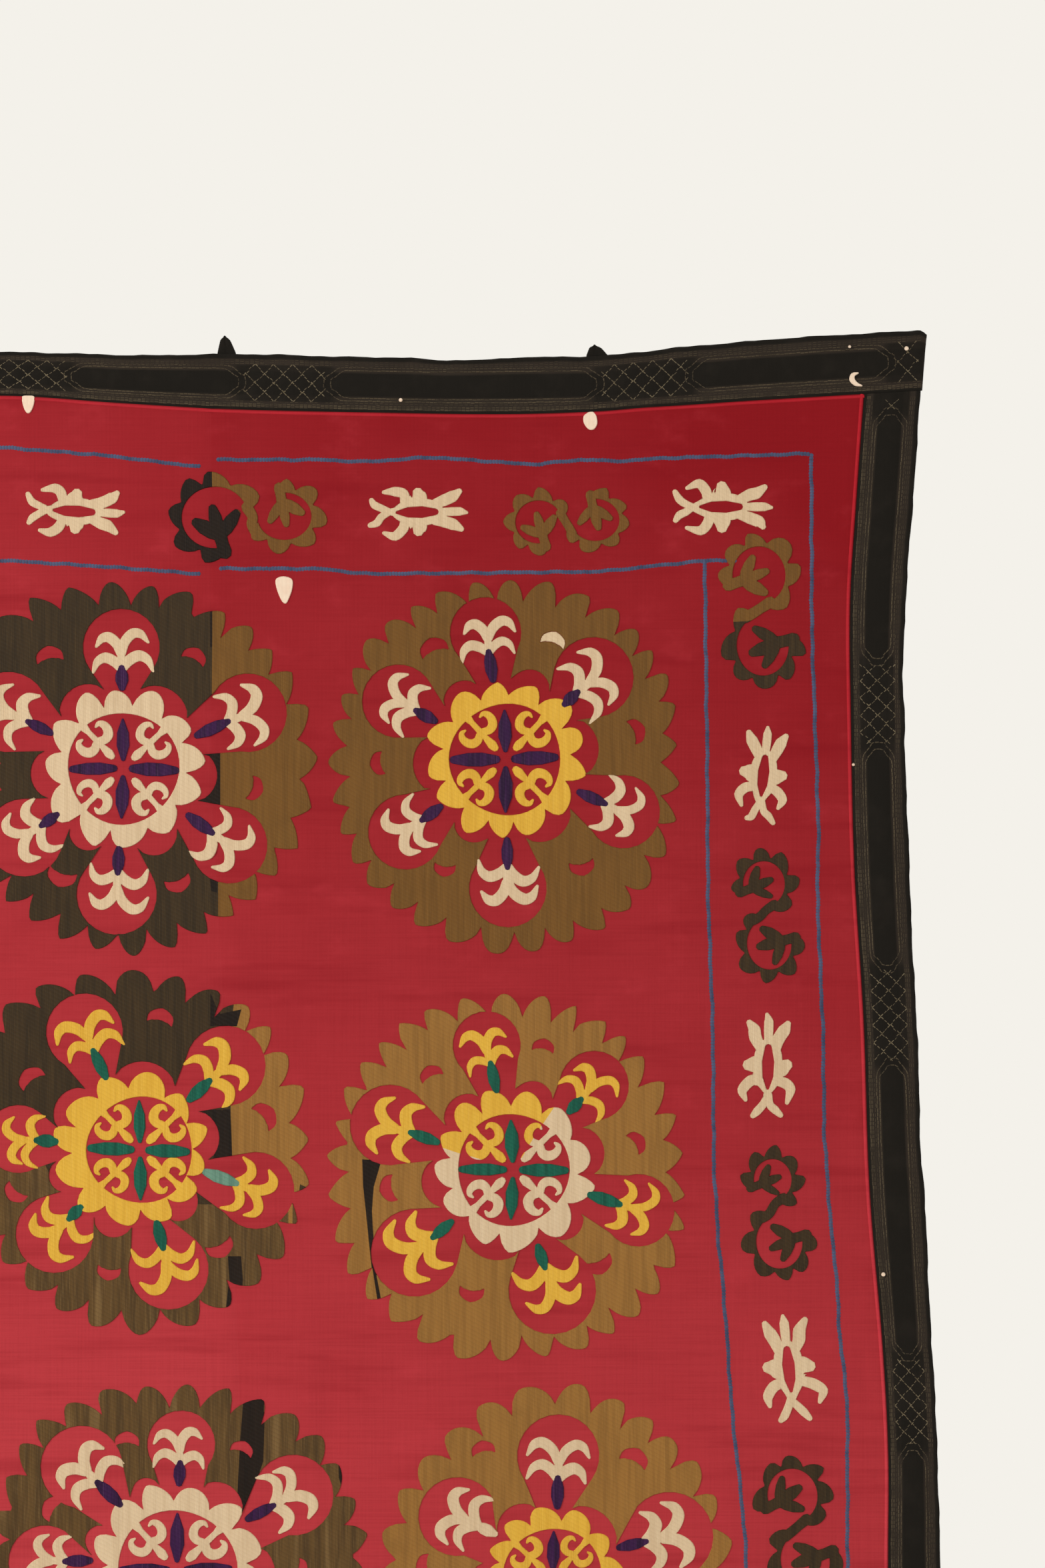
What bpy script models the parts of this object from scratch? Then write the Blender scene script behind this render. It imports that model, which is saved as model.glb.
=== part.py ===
"""A suzani: a large embroidered cotton cloth, hung by four small loops along its top edge.

Three lengths of red cotton are sewn side by side and bound all round with four black quilted strips.
The cloth hangs in the XZ plane and is seen from -Y. X = 0 and Z = 0 are the middle of its top edge,
where the cloth lies in the plane Y = 0. Lower down it stands a little forward. Sizes are in metres.
"""

import math
from collections import namedtuple

import bmesh
import bpy

GROUND_THICKNESS = 0.0018
BINDING_THICKNESS = 0.0028
SEAM_GAP = 0.0003
HALF_GAP = SEAM_GAP / 2
PAD_HEIGHT = 0.0016
PAD_END = 0.022
LOOP_TAPE = 0.0020
LOOP_TUCK = 0.016

# The outline as it hangs: pulled up and out at the corners, sagging between the loops.
LevelLine = namedtuple("LevelLine", "x outer_z inner_z")
TOP_EDGE = (
    LevelLine(-0.905, 0.024, -0.041),
    LevelLine(-0.760, 0.010, -0.053),
    LevelLine(-0.560, -0.003, -0.065),
    LevelLine(-0.300, 0.005, -0.055),
    LevelLine(-0.140, 0.004, -0.047),
    LevelLine(0.000, 0.000, -0.0555),
    LevelLine(0.117, 0.001, -0.062),
    LevelLine(0.340, -0.003, -0.067),
    LevelLine(0.450, -0.002, -0.0675),
    LevelLine(0.537, -0.001, -0.0645),
    LevelLine(0.585, 0.0035, -0.0605),
    LevelLine(0.627, 0.009, -0.058),
    LevelLine(0.717, 0.0165, -0.052),
    LevelLine(0.905, 0.029, -0.041),
)
BOTTOM_EDGE = (
    LevelLine(-0.842, -2.252, -2.188),
    LevelLine(-0.400, -2.263, -2.200),
    LevelLine(0.050, -2.267, -2.203),
    LevelLine(0.500, -2.262, -2.199),
    LevelLine(0.922, -2.272, -2.208),
)
PlumbLine = namedtuple("PlumbLine", "z outer_x inner_x")
RIGHT_EDGE = (
    PlumbLine(0.029, 0.905, 0.840),
    PlumbLine(-0.157, 0.891, 0.8265),
    PlumbLine(-0.277, 0.883, 0.8190),
    PlumbLine(-0.397, 0.881, 0.8195),
    PlumbLine(-0.577, 0.886, 0.8235),
    PlumbLine(-0.757, 0.894, 0.8340),
    PlumbLine(-0.937, 0.902, 0.8400),
    PlumbLine(-1.117, 0.9105, 0.8545),
    PlumbLine(-1.237, 0.9165, 0.8605),
    PlumbLine(-1.357, 0.919, 0.8600),
    PlumbLine(-1.650, 0.921, 0.8600),
    PlumbLine(-1.950, 0.917, 0.8570),
    PlumbLine(-2.272, 0.922, 0.8600),
)
LEFT_EDGE = (
    PlumbLine(0.024, -0.905, -0.841),
    PlumbLine(-0.280, -0.880, -0.816),
    PlumbLine(-0.600, -0.872, -0.810),
    PlumbLine(-0.950, -0.862, -0.799),
    PlumbLine(-1.360, -0.845, -0.783),
    PlumbLine(-1.800, -0.838, -0.777),
    PlumbLine(-2.252, -0.842, -0.779),
)
SeamLine = namedtuple("SeamLine", "z left_x right_x")
SEAMS = (
    SeamLine(0.0, -0.630, 0.0995),
    SeamLine(-0.464, -0.622, 0.1005),
    SeamLine(-0.652, -0.616, 0.1095),
    SeamLine(-0.877, -0.606, 0.1210),
    SeamLine(-1.184, -0.594, 0.1330),
    SeamLine(-1.364, -0.588, 0.1395),
    SeamLine(-1.800, -0.578, 0.1480),
    SeamLine(-2.250, -0.575, 0.1520),
)

# Soft folds that stand forward. Each opens from a height down to the hem.
Fold = namedtuple("Fold", "x lean half_width opens_z forward")
FOLDS = (
    Fold(-0.86, 0.03, 0.10, -0.05, 0.020),
    Fold(-0.63, 0.02, 0.13, -0.60, 0.016),
    Fold(-0.36, 0.05, 0.17, -0.20, 0.013),
    Fold(-0.05, 0.03, 0.12, -0.90, 0.019),
    Fold(0.26, 0.04, 0.20, -0.15, 0.012),
    Fold(0.52, 0.02, 0.13, -1.05, 0.021),
    Fold(0.74, 0.03, 0.14, -0.35, 0.012),
    Fold(0.93, 0.01, 0.09, -0.10, 0.018),
)
FOLD_OPENING = 1.70
HEM_FORWARD = 0.003
BELLY_FORWARD = 0.009
CLOTH_DROP = 2.27

# Plain pads of the binding, from one bank of crossed stitching to the next, along each strip.
Pad = namedtuple("Pad", "start end")
TOP_PADS = (
    Pad(-0.860, -0.550),
    Pad(-0.440, -0.165),
    Pad(-0.059, 0.132),
    Pad(0.233, 0.535),
    Pad(0.640, 0.863),
)
BOTTOM_PADS = (
    Pad(-0.780, -0.500),
    Pad(-0.390, -0.110),
    Pad(0.000, 0.280),
    Pad(0.390, 0.670),
    Pad(0.780, 0.880),
)
RIGHT_PADS = (
    Pad(0.067, 0.344),
    Pad(0.443, 0.689),
    Pad(0.798, 1.124),
    Pad(1.229, 1.540),
    Pad(1.645, 1.900),
    Pad(2.005, 2.195),
)
LEFT_PADS = (
    Pad(0.060, 0.330),
    Pad(0.435, 0.740),
    Pad(0.845, 1.130),
    Pad(1.235, 1.560),
    Pad(1.665, 1.910),
    Pad(2.015, 2.180),
)

HangingLoop = namedtuple("HangingLoop", "x height half_width")
HANGING_LOOPS = (
    HangingLoop(-0.711, 0.017, 0.0110),
    HangingLoop(-0.297, 0.019, 0.0105),
    HangingLoop(0.117, 0.020, 0.0105),
    HangingLoop(0.534, 0.012, 0.0120),
)

ACROSS_BINDING = (0.0, 0.2, 0.5, 0.8, 1.0)
LEFT_PANEL_CELLS = 4
WIDE_PANEL_CELLS = 12
DROP_CELLS = 36
BINDING_DOUBLINGS = 1
LINE_CROSSING_STEPS = 8


def read_row(rows, column, at):
    """The named column of a table of rows, read smoothly at a value of the rows' first column."""
    keys = [row[0] for row in rows]
    values = [getattr(row, column) for row in rows]
    if keys[0] > keys[-1]:
        keys.reverse()
        values.reverse()
    if at <= keys[0]:
        return values[0]
    if at >= keys[-1]:
        return values[-1]
    k = max(i for i in range(len(keys) - 1) if keys[i] <= at)

    def slope(i):
        before, after = max(i - 1, 0), min(i + 1, len(keys) - 1)
        return (values[after] - values[before]) / (keys[after] - keys[before])

    step = keys[k + 1] - keys[k]
    t = (at - keys[k]) / step
    return (
        (2 * t**3 - 3 * t**2 + 1) * values[k]
        + (t**3 - 2 * t**2 + t) * step * slope(k)
        + (3 * t**2 - 2 * t**3) * values[k + 1]
        + (t**3 - t**2) * step * slope(k + 1)
    )


def plumb_x(line, z):
    """X of an upright line: 0 and 5 are the edges, 1 and 4 the binding's seams, 2 and 3 the panels'."""
    tables = (
        (LEFT_EDGE, "outer_x"),
        (LEFT_EDGE, "inner_x"),
        (SEAMS, "left_x"),
        (SEAMS, "right_x"),
        (RIGHT_EDGE, "inner_x"),
        (RIGHT_EDGE, "outer_x"),
    )
    rows, column = tables[line]
    return read_row(rows, column, z)


def level_z(line, x):
    """Z of a level line: 0 is the top edge, 1 and 2 are the binding's seams, 3 is the hem."""
    tables = (
        (TOP_EDGE, "outer_z"),
        (TOP_EDGE, "inner_z"),
        (BOTTOM_EDGE, "inner_z"),
        (BOTTOM_EDGE, "outer_z"),
    )
    rows, column = tables[line]
    return read_row(rows, column, x)


def between(line_at, position, at):
    """A line between two named lines, where position 2.5 is half way from line 2 to line 3."""
    line = min(int(position), 4 if line_at is plumb_x else 2)
    share = position - line
    return (1 - share) * line_at(line, at) + share * line_at(line + 1, at)


def forward(x, z):
    """How far the cloth stands forward of the plane Y = 0."""
    drop = min(max(-z / CLOTH_DROP, 0.0), 1.0)
    reach = HEM_FORWARD * drop + BELLY_FORWARD * math.sin(math.pi * drop) * drop
    for fold in FOLDS:
        opening = min(max((fold.opens_z - z) / FOLD_OPENING, 0.0), 1.0)
        opening = opening * opening * (3 - 2 * opening)
        offset = (x - fold.x - fold.lean * -z) / fold.half_width
        reach += fold.forward * opening * math.exp(-offset * offset)
    return reach


def cloth_point(column, row):
    """(x, forward, z) where an upright line and a level line of the cloth cross."""
    x = between(plumb_x, column, 0.0)
    z = 0.0
    for _ in range(LINE_CROSSING_STEPS):
        z = between(level_z, row, x)
        x = between(plumb_x, column, z)
    return (x, forward(x, z), z)


def midway(a, b):
    return tuple((p + q) / 2 for p, q in zip(a, b))


def split_rows(grid, times):
    """The grid with its rows doubled, the given number of times, along straight chords."""
    for _ in range(times):
        doubled = [grid[0]]
        for above, below in zip(grid, grid[1:]):
            doubled.append([midway(p, q) for p, q in zip(above, below)])
            doubled.append(below)
        grid = doubled
    return grid


def transposed(grid):
    return [list(line) for line in zip(*grid)]


def draw_in(grid):
    """The grid with its rim moved in by half the gap that two sewn pieces keep."""
    last_row, last_column = len(grid) - 1, len(grid[0]) - 1
    moved = [list(line) for line in grid]
    for i, line in enumerate(grid):
        for j, (x, reach, z) in enumerate(line):
            x += HALF_GAP * ((j == 0) - (j == last_column))
            z += HALF_GAP * ((i == last_row) - (i == 0))
            moved[i][j] = (x, reach, z)
    return moved


def fabric(name, colour, roughness):
    made = bpy.data.materials.new(name)
    made.use_nodes = True
    shader = made.node_tree.nodes["Principled BSDF"]
    shader.inputs["Base Color"].default_value = (*colour, 1.0)
    shader.inputs["Roughness"].default_value = roughness
    shader.inputs["Metallic"].default_value = 0.0
    made.diffuse_color = (*colour, 1.0)
    return made


def add_object(name, mesh_data, material):
    mesh = bpy.data.meshes.new(name)
    mesh_data.to_mesh(mesh)
    mesh_data.free()
    mesh.materials.append(material)
    mesh.shade_smooth()
    mesh.set_sharp_from_angle(angle=math.radians(40))
    made = bpy.data.objects.new(name, mesh)
    bpy.context.scene.collection.objects.link(made)
    return made


def sheet(name, grid, thickness, material, raised=None):
    """A closed sheet of cloth. grid is a list of rows, top to bottom, of (x, forward, z), left to right."""
    mesh_data = bmesh.new()
    faces = []
    for side in (1, -1):
        face = []
        for i, line in enumerate(grid):
            made = []
            for j, (x, reach, z) in enumerate(line):
                out = side * thickness / 2
                if side == 1 and raised:
                    out += raised(i, j)
                made.append(mesh_data.verts.new((x, -reach - out, z)))
            face.append(made)
        faces.append(face)
    front, back = faces
    rows, columns = len(grid), len(grid[0])
    for i in range(rows - 1):
        for j in range(columns - 1):
            mesh_data.faces.new((front[i][j], front[i + 1][j], front[i + 1][j + 1], front[i][j + 1]))
            mesh_data.faces.new((back[i][j], back[i][j + 1], back[i + 1][j + 1], back[i + 1][j]))
    rim = [(0, j) for j in range(columns - 1)]
    rim += [(i, columns - 1) for i in range(rows - 1)]
    rim += [(rows - 1, j) for j in range(columns - 1, 0, -1)]
    rim += [(i, 0) for i in range(rows - 1, 0, -1)]
    for (i, j), (k, m) in zip(rim, rim[1:] + rim[:1]):
        mesh_data.faces.new((front[i][j], front[k][m], back[k][m], back[i][j]))
    bmesh.ops.recalc_face_normals(mesh_data, faces=mesh_data.faces)
    return add_object(name, mesh_data, material)


def pad_share(pads, along):
    """1 on a pad of the binding, 0 in the crossed stitching between, with soft ends."""
    share = 0.0
    for pad in pads:
        inside = min(along - pad.start, pad.end - along)
        share = max(share, min(max(inside / PAD_END, 0.0), 1.0))
    return math.sin(share * math.pi / 2)


def panel(name, first_line, cells, red):
    columns = [first_line + i / cells for i in range(cells + 1)]
    rows = [1 + i / DROP_CELLS for i in range(DROP_CELLS + 1)]
    grid = [[cloth_point(column, row) for column in columns] for row in rows]
    return sheet(name, draw_in(grid), GROUND_THICKNESS, red)


def all_columns():
    """Every upright line that the panels and the side bindings use."""
    columns = list(ACROSS_BINDING)
    columns += [1 + i / LEFT_PANEL_CELLS for i in range(1, LEFT_PANEL_CELLS + 1)]
    columns += [2 + i / WIDE_PANEL_CELLS for i in range(1, WIDE_PANEL_CELLS + 1)]
    columns += [3 + i / WIDE_PANEL_CELLS for i in range(1, WIDE_PANEL_CELLS + 1)]
    columns += [4 + share for share in ACROSS_BINDING[1:]]
    return columns


def across_raise(share):
    """The pad's rise across the binding: none at its stitched sides, full along its middle."""
    return PAD_HEIGHT * math.sin(math.pi * (share - 0.2) / 0.6) if 0.2 < share < 0.8 else 0.0


def level_binding(name, first_line, pads, black):
    """A strip that runs the full width, along the top or the bottom."""
    rows = [first_line + share for share in ACROSS_BINDING]
    grid = [[cloth_point(column, row) for column in all_columns()] for row in rows]
    grid = transposed(split_rows(transposed(grid), BINDING_DOUBLINGS))
    grid = draw_in(grid)

    def raised(i, j):
        return across_raise(ACROSS_BINDING[i]) * pad_share(pads, grid[i][j][0])

    return sheet(name, grid, BINDING_THICKNESS, black, raised)


def plumb_binding(name, first_line, pads, black):
    """A strip that runs down one side, between the top and bottom strips."""
    columns = [first_line + share for share in ACROSS_BINDING]
    rows = [1 + i / DROP_CELLS for i in range(DROP_CELLS + 1)]
    grid = [[cloth_point(column, row) for column in columns] for row in rows]
    grid = draw_in(split_rows(grid, BINDING_DOUBLINGS))

    def raised(i, j):
        return across_raise(ACROSS_BINDING[j]) * pad_share(pads, -grid[i][j][2])

    return sheet(name, grid, BINDING_THICKNESS, black, raised)


def loop_outline(loop):
    """(x, z) points round one pinched tape loop, from its tucked foot over its rounded tip."""
    foot_z = -LOOP_TUCK
    waist_z = 0.30 * loop.height
    tip_radius = 0.34 * loop.half_width
    tip_z = loop.height - tip_radius
    right = [(loop.half_width, foot_z), (loop.half_width, 0.0), (0.72 * loop.half_width, waist_z)]
    tip = [
        (tip_radius * math.cos(math.radians(a)), tip_z + tip_radius * math.sin(math.radians(a)))
        for a in range(0, 181, 30)
    ]
    left = [(-x, z) for x, z in reversed(right)]
    return right + tip + left


def hanging_loop(name, loop, black):
    """A pinched loop of black tape, its foot sewn behind the top binding."""
    edge_z = level_z(0, loop.x)
    mesh_data = bmesh.new()
    rings = []
    for out in (0.0, LOOP_TAPE):
        ring = []
        for dx, dz in loop_outline(loop):
            x, z = loop.x + dx, edge_z + dz
            behind = -forward(x, z) + BINDING_THICKNESS / 2 + SEAM_GAP
            ring.append(mesh_data.verts.new((x, behind + out, z)))
        rings.append(ring)
    front, back = rings
    mesh_data.faces.new(front)
    mesh_data.faces.new(list(reversed(back)))
    for i in range(len(front)):
        k = (i + 1) % len(front)
        mesh_data.faces.new((front[i], back[i], back[k], front[k]))
    bmesh.ops.recalc_face_normals(mesh_data, faces=mesh_data.faces)
    return add_object(name, mesh_data, black)


def main():
    for old in list(bpy.data.objects):
        bpy.data.objects.remove(old)
    red = fabric("red_cotton", (0.33, 0.020, 0.028), 0.90)
    black = fabric("black_cotton", (0.014, 0.012, 0.010), 0.85)
    panel("panel_left", 1, LEFT_PANEL_CELLS, red)
    panel("panel_middle", 2, WIDE_PANEL_CELLS, red)
    panel("panel_right", 3, WIDE_PANEL_CELLS, red)
    level_binding("binding_top", 0, TOP_PADS, black)
    level_binding("binding_bottom", 2, BOTTOM_PADS, black)
    plumb_binding("binding_left", 0, LEFT_PADS, black)
    plumb_binding("binding_right", 4, RIGHT_PADS, black)
    for number, loop in enumerate(HANGING_LOOPS, 1):
        hanging_loop(f"hanging_loop_{number}", loop, black)


main()
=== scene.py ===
"""The looks of a large embroidered cotton suzani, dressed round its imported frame.

The cloth hangs in the XZ plane and is seen from -Y. Places are measured from the middle of the top
edge, X to the right and Z up. The hanging shape, the binding and its quilting are given in metres,
and the creases and the embroidery in millimetres. The functions that set them on the cloth work in
metres.
"""

import math
from collections import namedtuple

import bpy
import numpy as np
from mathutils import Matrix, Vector
from mathutils.geometry import delaunay_2d_cdt


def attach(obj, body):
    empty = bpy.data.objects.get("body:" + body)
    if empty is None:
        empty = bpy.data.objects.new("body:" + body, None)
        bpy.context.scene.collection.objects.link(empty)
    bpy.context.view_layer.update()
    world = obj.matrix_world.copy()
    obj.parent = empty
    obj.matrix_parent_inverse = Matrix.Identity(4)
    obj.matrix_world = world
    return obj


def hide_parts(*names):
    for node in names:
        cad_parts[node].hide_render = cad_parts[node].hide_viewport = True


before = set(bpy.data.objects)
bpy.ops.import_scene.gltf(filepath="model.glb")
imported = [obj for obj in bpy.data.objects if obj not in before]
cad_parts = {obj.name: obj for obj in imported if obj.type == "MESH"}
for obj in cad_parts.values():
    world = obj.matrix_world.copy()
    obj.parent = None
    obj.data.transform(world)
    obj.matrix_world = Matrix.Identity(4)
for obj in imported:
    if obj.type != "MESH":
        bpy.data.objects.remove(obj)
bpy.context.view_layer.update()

MM = 0.001
BODY = "root"
TINY = 1e-12


def table(kind, *rows):
    """Rows of values as named tuples of one kind."""
    return tuple(kind(*row) for row in rows)


# The hanging shape, as in the solids, in metres.
LevelLine = namedtuple("LevelLine", "x outer_z inner_z")
TOP_EDGE = table(
    LevelLine,
    (-0.905, 0.024, -0.041), (-0.760, 0.010, -0.053), (-0.560, -0.003, -0.065), (-0.300, 0.005, -0.055),
    (-0.140, 0.004, -0.047), (0.000, 0.000, -0.0555), (0.117, 0.001, -0.062), (0.340, -0.003, -0.067),
    (0.450, -0.002, -0.0675), (0.537, -0.001, -0.0645), (0.585, 0.0035, -0.0605),
    (0.627, 0.009, -0.058), (0.717, 0.0165, -0.052), (0.905, 0.029, -0.041),
)
BOTTOM_EDGE = table(
    LevelLine,
    (-0.842, -2.252, -2.188), (-0.400, -2.263, -2.200), (0.050, -2.267, -2.203),
    (0.500, -2.262, -2.199), (0.922, -2.272, -2.208),
)
PlumbLine = namedtuple("PlumbLine", "z outer_x inner_x")
RIGHT_EDGE = table(
    PlumbLine,
    (0.029, 0.905, 0.840), (-0.157, 0.891, 0.8265), (-0.277, 0.883, 0.8190), (-0.397, 0.881, 0.8195),
    (-0.577, 0.886, 0.8235), (-0.757, 0.894, 0.8340), (-0.937, 0.902, 0.8400), (-1.117, 0.9105, 0.8545),
    (-1.237, 0.9165, 0.8605), (-1.357, 0.919, 0.8600), (-1.650, 0.921, 0.8600), (-1.950, 0.917, 0.8570),
    (-2.272, 0.922, 0.8600),
)
LEFT_EDGE = table(
    PlumbLine,
    (0.024, -0.905, -0.841), (-0.280, -0.880, -0.816), (-0.600, -0.872, -0.810),
    (-0.950, -0.862, -0.799), (-1.360, -0.845, -0.783), (-1.800, -0.838, -0.777),
    (-2.252, -0.842, -0.779),
)
SeamLine = namedtuple("SeamLine", "z left_x right_x")
SEAMS = table(
    SeamLine,
    (0.0, -0.630, 0.0995), (-0.464, -0.622, 0.1005), (-0.652, -0.616, 0.1095), (-0.877, -0.606, 0.1210),
    (-1.184, -0.594, 0.1330), (-1.364, -0.588, 0.1395), (-1.800, -0.578, 0.1480),
    (-2.250, -0.575, 0.1520),
)
Fold = namedtuple("Fold", "x lean half_width opens_z forward")
FOLDS = table(
    Fold,
    (-0.86, 0.03, 0.10, -0.05, 0.020), (-0.63, 0.02, 0.13, -0.60, 0.016),
    (-0.36, 0.05, 0.17, -0.20, 0.013), (-0.05, 0.03, 0.12, -0.90, 0.019),
    (0.26, 0.04, 0.20, -0.15, 0.012), (0.52, 0.02, 0.13, -1.05, 0.021),
    (0.74, 0.03, 0.14, -0.35, 0.012), (0.93, 0.01, 0.09, -0.10, 0.018),
)
FOLD_OPENING = 1.70
HEM_FORWARD = 0.003
BELLY_FORWARD = 0.009
CLOTH_DROP = 2.27
LINE_CROSSING_STEPS = 8

# Small creases in the cloth, troughs where the depth is above 0, in millimetres.
Crease = namedtuple("Crease", "x0 z0 x1 z1 half_width depth")
CREASES = table(
    Crease,
    (176, -384, 268, -380, 9, 1.3), (186, -424, 256, -421, 9, 1.0), (170, -470, 262, -476, 9, 1.4),
    (182, -522, 258, -518, 9, 1.1), (170, -566, 266, -572, 9, 1.2), (150, -612, 262, -620, 10, 1.0),
    (140, -1092, 141, -1184, 9, 1.4), (230, -1080, 236, -1372, 9, 1.6),
    (122, -1160, 330, -1166, 9, 1.4), (826, -1120, 850, -1214, 9, 1.8),
    (812, -1190, 846, -1262, 9, -1.3), (805, -842, 807, -912, 9, 1.2), (690, -706, 816, -716, 10, 0.9),
    (-60, -560, 40, -690, 14, 1.2), (300, -690, 700, -700, 16, 1.3), (-140, -678, 300, -666, 15, 1.2),
    (350, -1120, 700, -1132, 15, 1.3), (-660, -1150, -300, -1162, 16, 1.5),
    (-500, -680, -180, -660, 15, 1.2), (-600, -1590, 700, -1600, 18, 1.8),
    (-320, -1620, -250, -2160, 16, 1.8), (290, -1560, 330, -2180, 16, 1.8),
    (590, -1560, 640, -2190, 16, 1.5), (-20, -1540, 0, -2180, 16, 1.6),
)
Ripple = namedtuple("Ripple", "along_x along_z phase height")
RIPPLES = table(
    Ripple,
    (31.0, 9.0, 0.4, 0.45), (-17.0, 26.0, 1.9, 0.50), (62.0, 14.0, 3.1, 0.16), (11.0, 71.0, 0.9, 0.17),
    (88.0, -37.0, 2.2, 0.08),
)

# Thickness and heights, in metres.
GROUND_HALF = 0.0005
BINDING_HALF = 0.0013
EMBROIDERY_HEIGHT = 0.0010
EMBROIDERY_SLOPE = 0.0007
REVERSE_HEIGHT = 0.00022
SUNK = 0.0002
PANEL_GRID = 0.0095
EMBROIDERY_GRID = 0.010

# Plain pads of the binding, from one bank of crossed stitching to the next, along each strip.
Pad = namedtuple("Pad", "start end")
TOP_PADS = table(
    Pad,
    (-0.860, -0.550), (-0.440, -0.165), (-0.059, 0.132), (0.233, 0.535), (0.640, 0.863),
)
BOTTOM_PADS = table(
    Pad,
    (-0.780, -0.500), (-0.390, -0.110), (0.000, 0.280), (0.390, 0.670), (0.780, 0.880),
)
RIGHT_PADS = table(
    Pad,
    (0.067, 0.344), (0.443, 0.689), (0.798, 1.124), (1.229, 1.540), (1.645, 1.900), (2.005, 2.195),
)
LEFT_PADS = table(
    Pad,
    (0.060, 0.330), (0.435, 0.740), (0.845, 1.130), (1.235, 1.560), (1.665, 1.910), (2.015, 2.180),
)
PAD_END = 0.015
PAD_HEIGHT = 0.0014
ROLL_HEIGHT = 0.0009
FOLD_HEIGHT = 0.0006
CHANNEL_HEIGHT = 0.00045
LATTICE_HEIGHT = 0.0011

HangingLoop = namedtuple("HangingLoop", "x height half_width")
HANGING_LOOPS = table(
    HangingLoop,
    (-0.711, 0.017, 0.0110), (-0.297, 0.019, 0.0105), (0.117, 0.020, 0.0105), (0.534, 0.012, 0.0120),
)
LOOP_TAPE = 0.0020
LOOP_TUCK = 0.016
LOOP_GAP = 0.0003


def read_row(rows, column, at):
    """The named column of a table of rows, read smoothly at values of the rows' first column."""
    order = sorted(rows, key=lambda row: row[0])
    keys = np.array([row[0] for row in order])
    values = np.array([getattr(row, column) for row in order])
    last = len(order) - 1
    before = np.maximum(np.arange(last + 1) - 1, 0)
    after = np.minimum(np.arange(last + 1) + 1, last)
    slopes = (values[after] - values[before]) / (keys[after] - keys[before])
    at = np.clip(at, keys[0], keys[-1])
    k = np.clip(np.searchsorted(keys, at, side="right") - 1, 0, last - 1)
    step = keys[k + 1] - keys[k]
    t = (at - keys[k]) / step
    return (
        (2 * t**3 - 3 * t**2 + 1) * values[k]
        + (t**3 - 2 * t**2 + t) * step * slopes[k]
        + (3 * t**2 - 2 * t**3) * values[k + 1]
        + (t**3 - t**2) * step * slopes[k + 1]
    )


PLUMB_TABLES = (
    (LEFT_EDGE, "outer_x"),
    (LEFT_EDGE, "inner_x"),
    (SEAMS, "left_x"),
    (SEAMS, "right_x"),
    (RIGHT_EDGE, "inner_x"),
    (RIGHT_EDGE, "outer_x"),
)
LEVEL_TABLES = (
    (TOP_EDGE, "outer_z"),
    (TOP_EDGE, "inner_z"),
    (BOTTOM_EDGE, "inner_z"),
    (BOTTOM_EDGE, "outer_z"),
)


def between(tables, position, at):
    """A line between two lines of the cloth, where position 2.5 is half way from line 2 to line 3."""
    at = np.asarray(at, float)
    position = np.broadcast_to(np.asarray(position, float), at.shape)
    lines = np.stack([read_row(rows, column, at) for rows, column in tables])
    line = np.minimum(position.astype(int), len(tables) - 2)
    share = position - line
    first = np.take_along_axis(lines, line[None], axis=0)[0]
    second = np.take_along_axis(lines, line[None] + 1, axis=0)[0]
    return (1 - share) * first + share * second


def crossing(column, row):
    """(x, z) where upright lines and level lines of the cloth cross."""
    z = np.zeros(np.broadcast(column, row).shape)
    x = between(PLUMB_TABLES, column, z)
    for _ in range(LINE_CROSSING_STEPS):
        z = between(LEVEL_TABLES, row, x)
        x = between(PLUMB_TABLES, column, z)
    return x, z


def forward(x, z):
    """How far the cloth stands forward of the plane Y = 0, as its solids do."""
    drop = np.clip(-z / CLOTH_DROP, 0.0, 1.0)
    reach = HEM_FORWARD * drop + BELLY_FORWARD * np.sin(np.pi * drop) * drop
    for fold in FOLDS:
        opening = np.clip((fold.opens_z - z) / FOLD_OPENING, 0.0, 1.0)
        opening = opening * opening * (3 - 2 * opening)
        offset = (x - fold.x + fold.lean * z) / fold.half_width
        reach = reach + fold.forward * opening * np.exp(-offset * offset)
    return reach


def creased(x, z):
    """The small creases and ripples that the cloth has on top of its folds."""
    rise = np.zeros(np.shape(x))
    for ripple in RIPPLES:
        rise = rise + ripple.height * MM * np.sin(ripple.along_x * x + ripple.along_z * z + ripple.phase)
    for crease in CREASES:
        start = np.array([crease.x0, crease.z0]) * MM
        run = np.array([crease.x1, crease.z1]) * MM - start
        length = np.hypot(*run)
        along = ((x - start[0]) * run[0] + (z - start[1]) * run[1]) / length**2
        aside = ((x - start[0]) * run[1] - (z - start[1]) * run[0]) / length
        fade = np.sin(np.pi * np.clip(along, 0.0, 1.0)) ** 0.5
        rise = rise - crease.depth * MM * fade * np.exp(-((aside / (crease.half_width * MM)) ** 2))
    return rise


def drape(x, z, lift):
    """Points of the cloth, lifted towards the viewer from the middle of its thickness."""
    return np.column_stack([x, -(forward(x, z) + creased(x, z) + lift), z])


# Outlines are (n, 2) arrays of points.


def smooth_line(points, steps=5, closed=False):
    """A smooth curve through a few points."""
    points = np.asarray(points, float)
    if closed:
        ring = np.vstack([points[-1], points, points[:2]])
    else:
        ring = np.vstack([2 * points[0] - points[1], points, 2 * points[-1] - points[-2]])
    t = np.linspace(0, 1, steps, endpoint=False)[:, None]
    spans = []
    for a, b, c, d in zip(ring, ring[1:], ring[2:], ring[3:]):
        curve = 2 * b + (c - a) * t + (2 * a - 5 * b + 4 * c - d) * t**2 + (3 * b - a - 3 * c + d) * t**3
        spans.append(curve / 2)
    line = np.vstack(spans)
    return line if closed else np.vstack([line, points[-1]])


def unit(run):
    return run / (np.linalg.norm(run, axis=1)[:, None] + TINY)


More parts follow.
